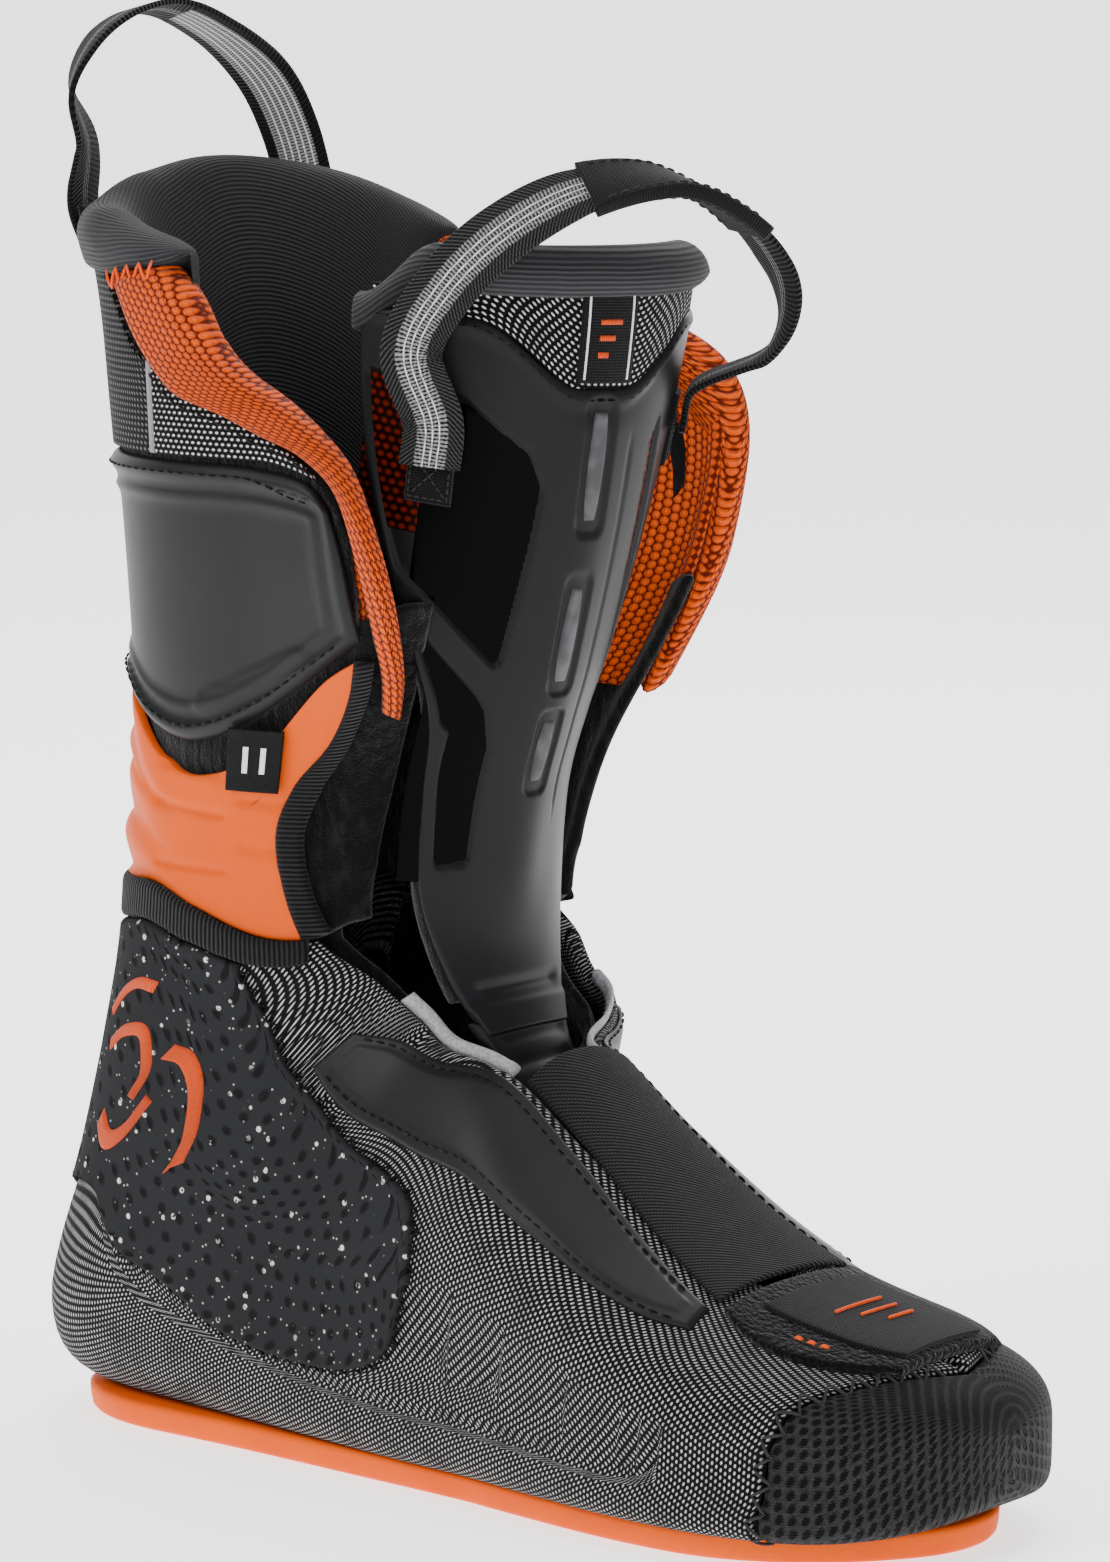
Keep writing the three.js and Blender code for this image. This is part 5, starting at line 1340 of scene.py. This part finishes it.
    def roll(s, t):
        w = mix(-68, 50.5, t)
        drop = np.where(w < 0, smooth((-w - 42) / 25), smooth((w - 32) / 18))
        edge = smooth((-w - 46) / 22)
        return mix(12.3 - 0.75 * edge, 13.16 - 0.35 * drop - 0.65 * edge, s), w

    roll_face = lambda q: -2.9 - 0.5 * np.sin(math.pi * q.s)
    dress(shell("tongue_top_roll", tongue, roll, roll_face, 9.5, 1.4, 6.0), "collar_knit", "tongue",
          "tongue_roll")
    edge = lambda t: (shield_top(mix(-61, 45, t)) - 0.12, mix(-61, 45, t))
    dress(seam("plate_top_stitch", tongue, edge, 0.3, 3.2, 2.4, 0.32), "black_thread", "tongue")

    # sewn patches with crossed stitches
    for k, (name, sign) in enumerate((("outer", -1), ("inner", 1))):
        u0 = (10.62, 10.9)[k]
        patch = lambda s, t, u0=u0, sign=sign: (u0 + mix(-0.46, 0.18, s), sign * mix(36, 47.6, t))
        dress(shell(f"sewn_patch_{name}", tongue, patch, -1.1, 0.4, 1.2, 0.6, lay=True), "tape_flat", "tongue",
              f"loop_patch_tongue_{name}")
        at = np.array([(0.08, 0.1), (0.08, 0.9), (0.62, 0.9), (0.62, 0.1), (0.08, 0.1), (0.62, 0.9),
                       (0.62, 0.1), (0.08, 0.9)])
        row = lambda t, at=at, patch=patch: patch(np.interp(t * 7, range(8), at[:, 0]),
                                                  np.interp(t * 7, range(8), at[:, 1]))
        dress(seam(f"cross_stitch_{name}", tongue, row, 1.15, 1.9, 1.4, 0.25), "grey_thread", "tongue")


# ---------------------------------------------------------------- pull loops
def lies(surface, p, q, step):
    d = surface(p, q + step, 0) - surface(p, q - step, 0)
    return d / np.linalg.norm(d)


def pulls():
    anchor = (10.62, 10.9)
    off = 0.3 + 1 + 1.2 + 0.8
    end = lambda i, w, du, lift: tongue(anchor[i] + du, w, -off - lift)
    path = [end(0, -41.5, -0.15, 0), end(0, -41.5, 0.2, 0.5), (138, -39, 279), (145, -35, 294), (156, -27, 307),
            (170, -14, 317), (183, 3, 319), (192, 21, 309), (193, 36, 293), (183, 44, 277), end(1, 41.5, 0.2, 0.5),
            end(1, 41.5, -0.15, 0)]
    a, b = lies(tongue, anchor[0], -41.5, 2), lies(tongue, anchor[1], 41.5, 2)
    across = [a, a, (0.8, 0.55, -0.1), (0.86, 0.45, -0.1), (0.95, 0.3, -0.2), (1, 0.1, -0.3), (1, -0.15, -0.3),
              (0.9, -0.4, 0), (0.7, -0.7, 0.05), -b, -b]
    near = ribbon("front_pull_near", path, across, 15, 1.6, 90, (0, 0.56))
    dress(near, "webbing", "tongue_pull", "tongue_loop")
    far = ribbon("front_pull_far", path, across, 15, 1.6, 80, (0.5, 1))
    dress(far, "dark_web", "tongue_pull", "tongue_loop")
    cover = ribbon("pull_cover", path, across, 17.2, 3.8, 60, (0.42, 0.64), 0.7)
    dress(cover, "tape_flat", "tongue_pull", "loop_sleeve")
    spine = spline(path, 800)
    lay = np.stack([np.interp(np.linspace(0, 1, 800), np.linspace(0, 1, len(across)), np.array(across, float)[:, k])
                    for k in range(3)], -1)
    along = np.gradient(spine, axis=0)
    along /= np.linalg.norm(along, axis=1)[:, None]
    lay -= along * np.sum(lay * along, 1)[:, None]
    lay /= np.linalg.norm(lay, axis=1)[:, None]
    up = np.cross(along, lay)

    def on_cover(t, w, lift):
        i = np.clip(t * 799, 0, 799).astype(int)
        return spine[i] + lay[i] * np.asarray(w)[..., None] + up[i] * np.asarray(lift)[..., None]

    for face in (-1, 1):
        flat = lambda p, q, d, face=face: on_cover(p, q, face * (1.9 - d))
        for k, w in enumerate((-7.0, 7.0)):
            row = lambda t, w=w: (mix(0.43, 0.63, t), w + 0 * t)
            name = f"cover_stitch_{'under' if face < 0 else 'top'}_{k + 1}"
            dress(seam(name, flat, row, 0.05, 3.0, 2.2, 0.28), "grey_thread", "tongue_pull")

    # rear loop
    rear_outer = -1.8
    rear_off = rear_outer - 1 - 1.2 - 0.8
    rear_end = lambda angle, g, lift: boot(g, angle, rear_off - lift)
    path = [rear_end(-14, 2.875, 0), rear_end(-14, 2.925, 0.8), (17, -20, 325), (18, -26, 338), (19, -17, 352),
            (20, 4, 359), (24, 21, 353), (27, 37, 341), (29, 45, 327), rear_end(47, 2.935, 0.8),
            rear_end(47, 2.88, 0)]
    a, b = -lies(boot, 2.9, -14, 3), lies(boot, 2.9, 47, 3)
    across = [a, a, (0.5, -0.85, 0), (0.8, -0.55, 0.1), (0.95, -0.25, 0.2), (1, 0, 0.2), (0.95, 0.25, 0.1),
              (0.82, 0.55, 0), (0.75, 0.65, 0), b, b]
    dress(ribbon("rear_pull_near", path, across, 15, 1.6, 70, (0, 0.56)), "dark_web", "rear_pull",
          "rear_loop")
    dress(ribbon("rear_pull_far", path, across, 15, 1.7, 70, (0.54, 1)), "grey_web", "rear_pull",
          "rear_loop")
    for name, middle in (("outer", -14), ("inner", 47)):
        patch = lambda s, t, middle=middle: (mix(2.857, 2.93, s), middle + mix(-9.5, 9.5, t))
        dress(shell(f"rear_patch_{name}", boot, patch, rear_outer - 1.4, rear_outer, 1.2, 0.5), "tape_flat", "cuff",
              f"loop_patch_rear_{name}")


def inside_bed():
    outline = sole_outline(17)
    heel = np.array(outline)
    heel[:, 0] = np.maximum(heel[:, 0], 22)
    at = np.concatenate([np.column_stack((heel, np.full(len(heel), z))) for z in (12.4, 15.6, 16.3)])
    n = len(heel)
    centre = heel.mean(0)
    at[2 * n :, :2] = centre + (at[2 * n :, :2] - centre) * 0.985
    faces = [(k * n + i, k * n + (i + 1) % n, (k + 1) * n + (i + 1) % n, (k + 1) * n + i)
             for k in range(2) for i in range(n)]
    faces.append(tuple(reversed(range(n))))
    faces.append(tuple(2 * n + i for i in range(n)))
    weave = [(at[v][0], at[v][1]) for f in faces for v in f]
    dress(build("insole", at, faces, weave), "footbed", "foot", "footbed")


foot()
inside_bed()
ankle()
cuff()
tongue_parts()
pulls()

# ---------------------------------------------------------------- floor, light and camera
count = 40
sweep_y = np.concatenate((np.linspace(-3, 2.2, 10), 2.2 + 1.2 * np.sin(np.linspace(0, math.pi / 2, count))[1:],
                          [3.4]))
sweep_z = np.concatenate((np.zeros(10), 1.2 * (1 - np.cos(np.linspace(0, math.pi / 2, count)))[1:], [4.5]))
view = Vector((math.sin(math.radians(38)), -math.cos(math.radians(38)), 0))
side = Vector((view.y, -view.x, 0))
points, faces = [], []
for k in range(len(sweep_y)):
    for w in (-5, 5):
        p = -view * float(sweep_y[k]) + side * w
        points.append((p.x, p.y, float(sweep_z[k])))
for k in range(len(sweep_y) - 1):
    faces.append((2 * k, 2 * k + 1, 2 * k + 3, 2 * k + 2))
mesh = bpy.data.meshes.new("studio_floor")
mesh.from_pydata(points, [], faces)
mesh.polygons.foreach_set("use_smooth", [True] * len(mesh.polygons))
floor = bpy.data.objects.new("studio_floor", mesh)
bpy.context.scene.collection.objects.link(floor)
floor_mat = bpy.data.materials.new("studio_floor")
floor_mat.use_nodes = True
floor_mat.node_tree.nodes["Principled BSDF"].inputs["Base Color"].default_value = (0.93, 0.93, 0.93, 1)
floor_mat.node_tree.nodes["Principled BSDF"].inputs["Roughness"].default_value = 0.9
floor_mat.node_tree.nodes["Principled BSDF"].inputs["Emission Color"].default_value = (1, 1, 1, 1)
floor_mat.node_tree.nodes["Principled BSDF"].inputs["Emission Strength"].default_value = 1.5
mesh.materials.append(floor_mat)

world = bpy.data.worlds.new("studio")
bpy.context.scene.world = world
world.use_nodes = True
world.node_tree.nodes["Background"].inputs["Color"].default_value = (0.95, 0.96, 1.0, 1)
world.node_tree.nodes["Background"].inputs["Strength"].default_value = 0.45

AIM = Vector((0.0049, 0.0014, 0.1714))


def area_light(name, place, size, power, tint=(1, 1, 1)):
    lamp = bpy.data.lights.new(name, "AREA")
    lamp.shape = "RECTANGLE"
    lamp.size, lamp.size_y = size
    lamp.energy = power
    lamp.color = tint
    obj = bpy.data.objects.new(name, lamp)
    obj.location = place
    obj.rotation_euler = (AIM - Vector(place)).to_track_quat("-Z", "Y").to_euler()
    bpy.context.scene.collection.objects.link(obj)


area_light("key", (-0.55, -1.35, 1.25), (1.1, 0.9), 24, (1, 0.99, 0.97))
area_light("fill", (1.5, -0.7, 0.7), (0.9, 1.2), 11)
area_light("top", (0.0, 0.1, 1.7), (1.2, 1.2), 18)
area_light("back", (-0.5, 1.4, 1.1), (1.2, 0.8), 12)

camera_data = bpy.data.cameras.new("camera")
camera_data.sensor_width = 36
camera_data.lens = 140.9
camera_data.clip_end = 50
camera = bpy.data.objects.new("camera", camera_data)
back = Vector((math.sin(math.radians(38)) * math.cos(math.radians(8)),
               -math.cos(math.radians(38)) * math.cos(math.radians(8)), math.sin(math.radians(8))))
camera.location = AIM + back * 1.5
camera.rotation_euler = (-back).to_track_quat("-Z", "Y").to_euler()
bpy.context.scene.collection.objects.link(camera)
bpy.context.scene.camera = camera
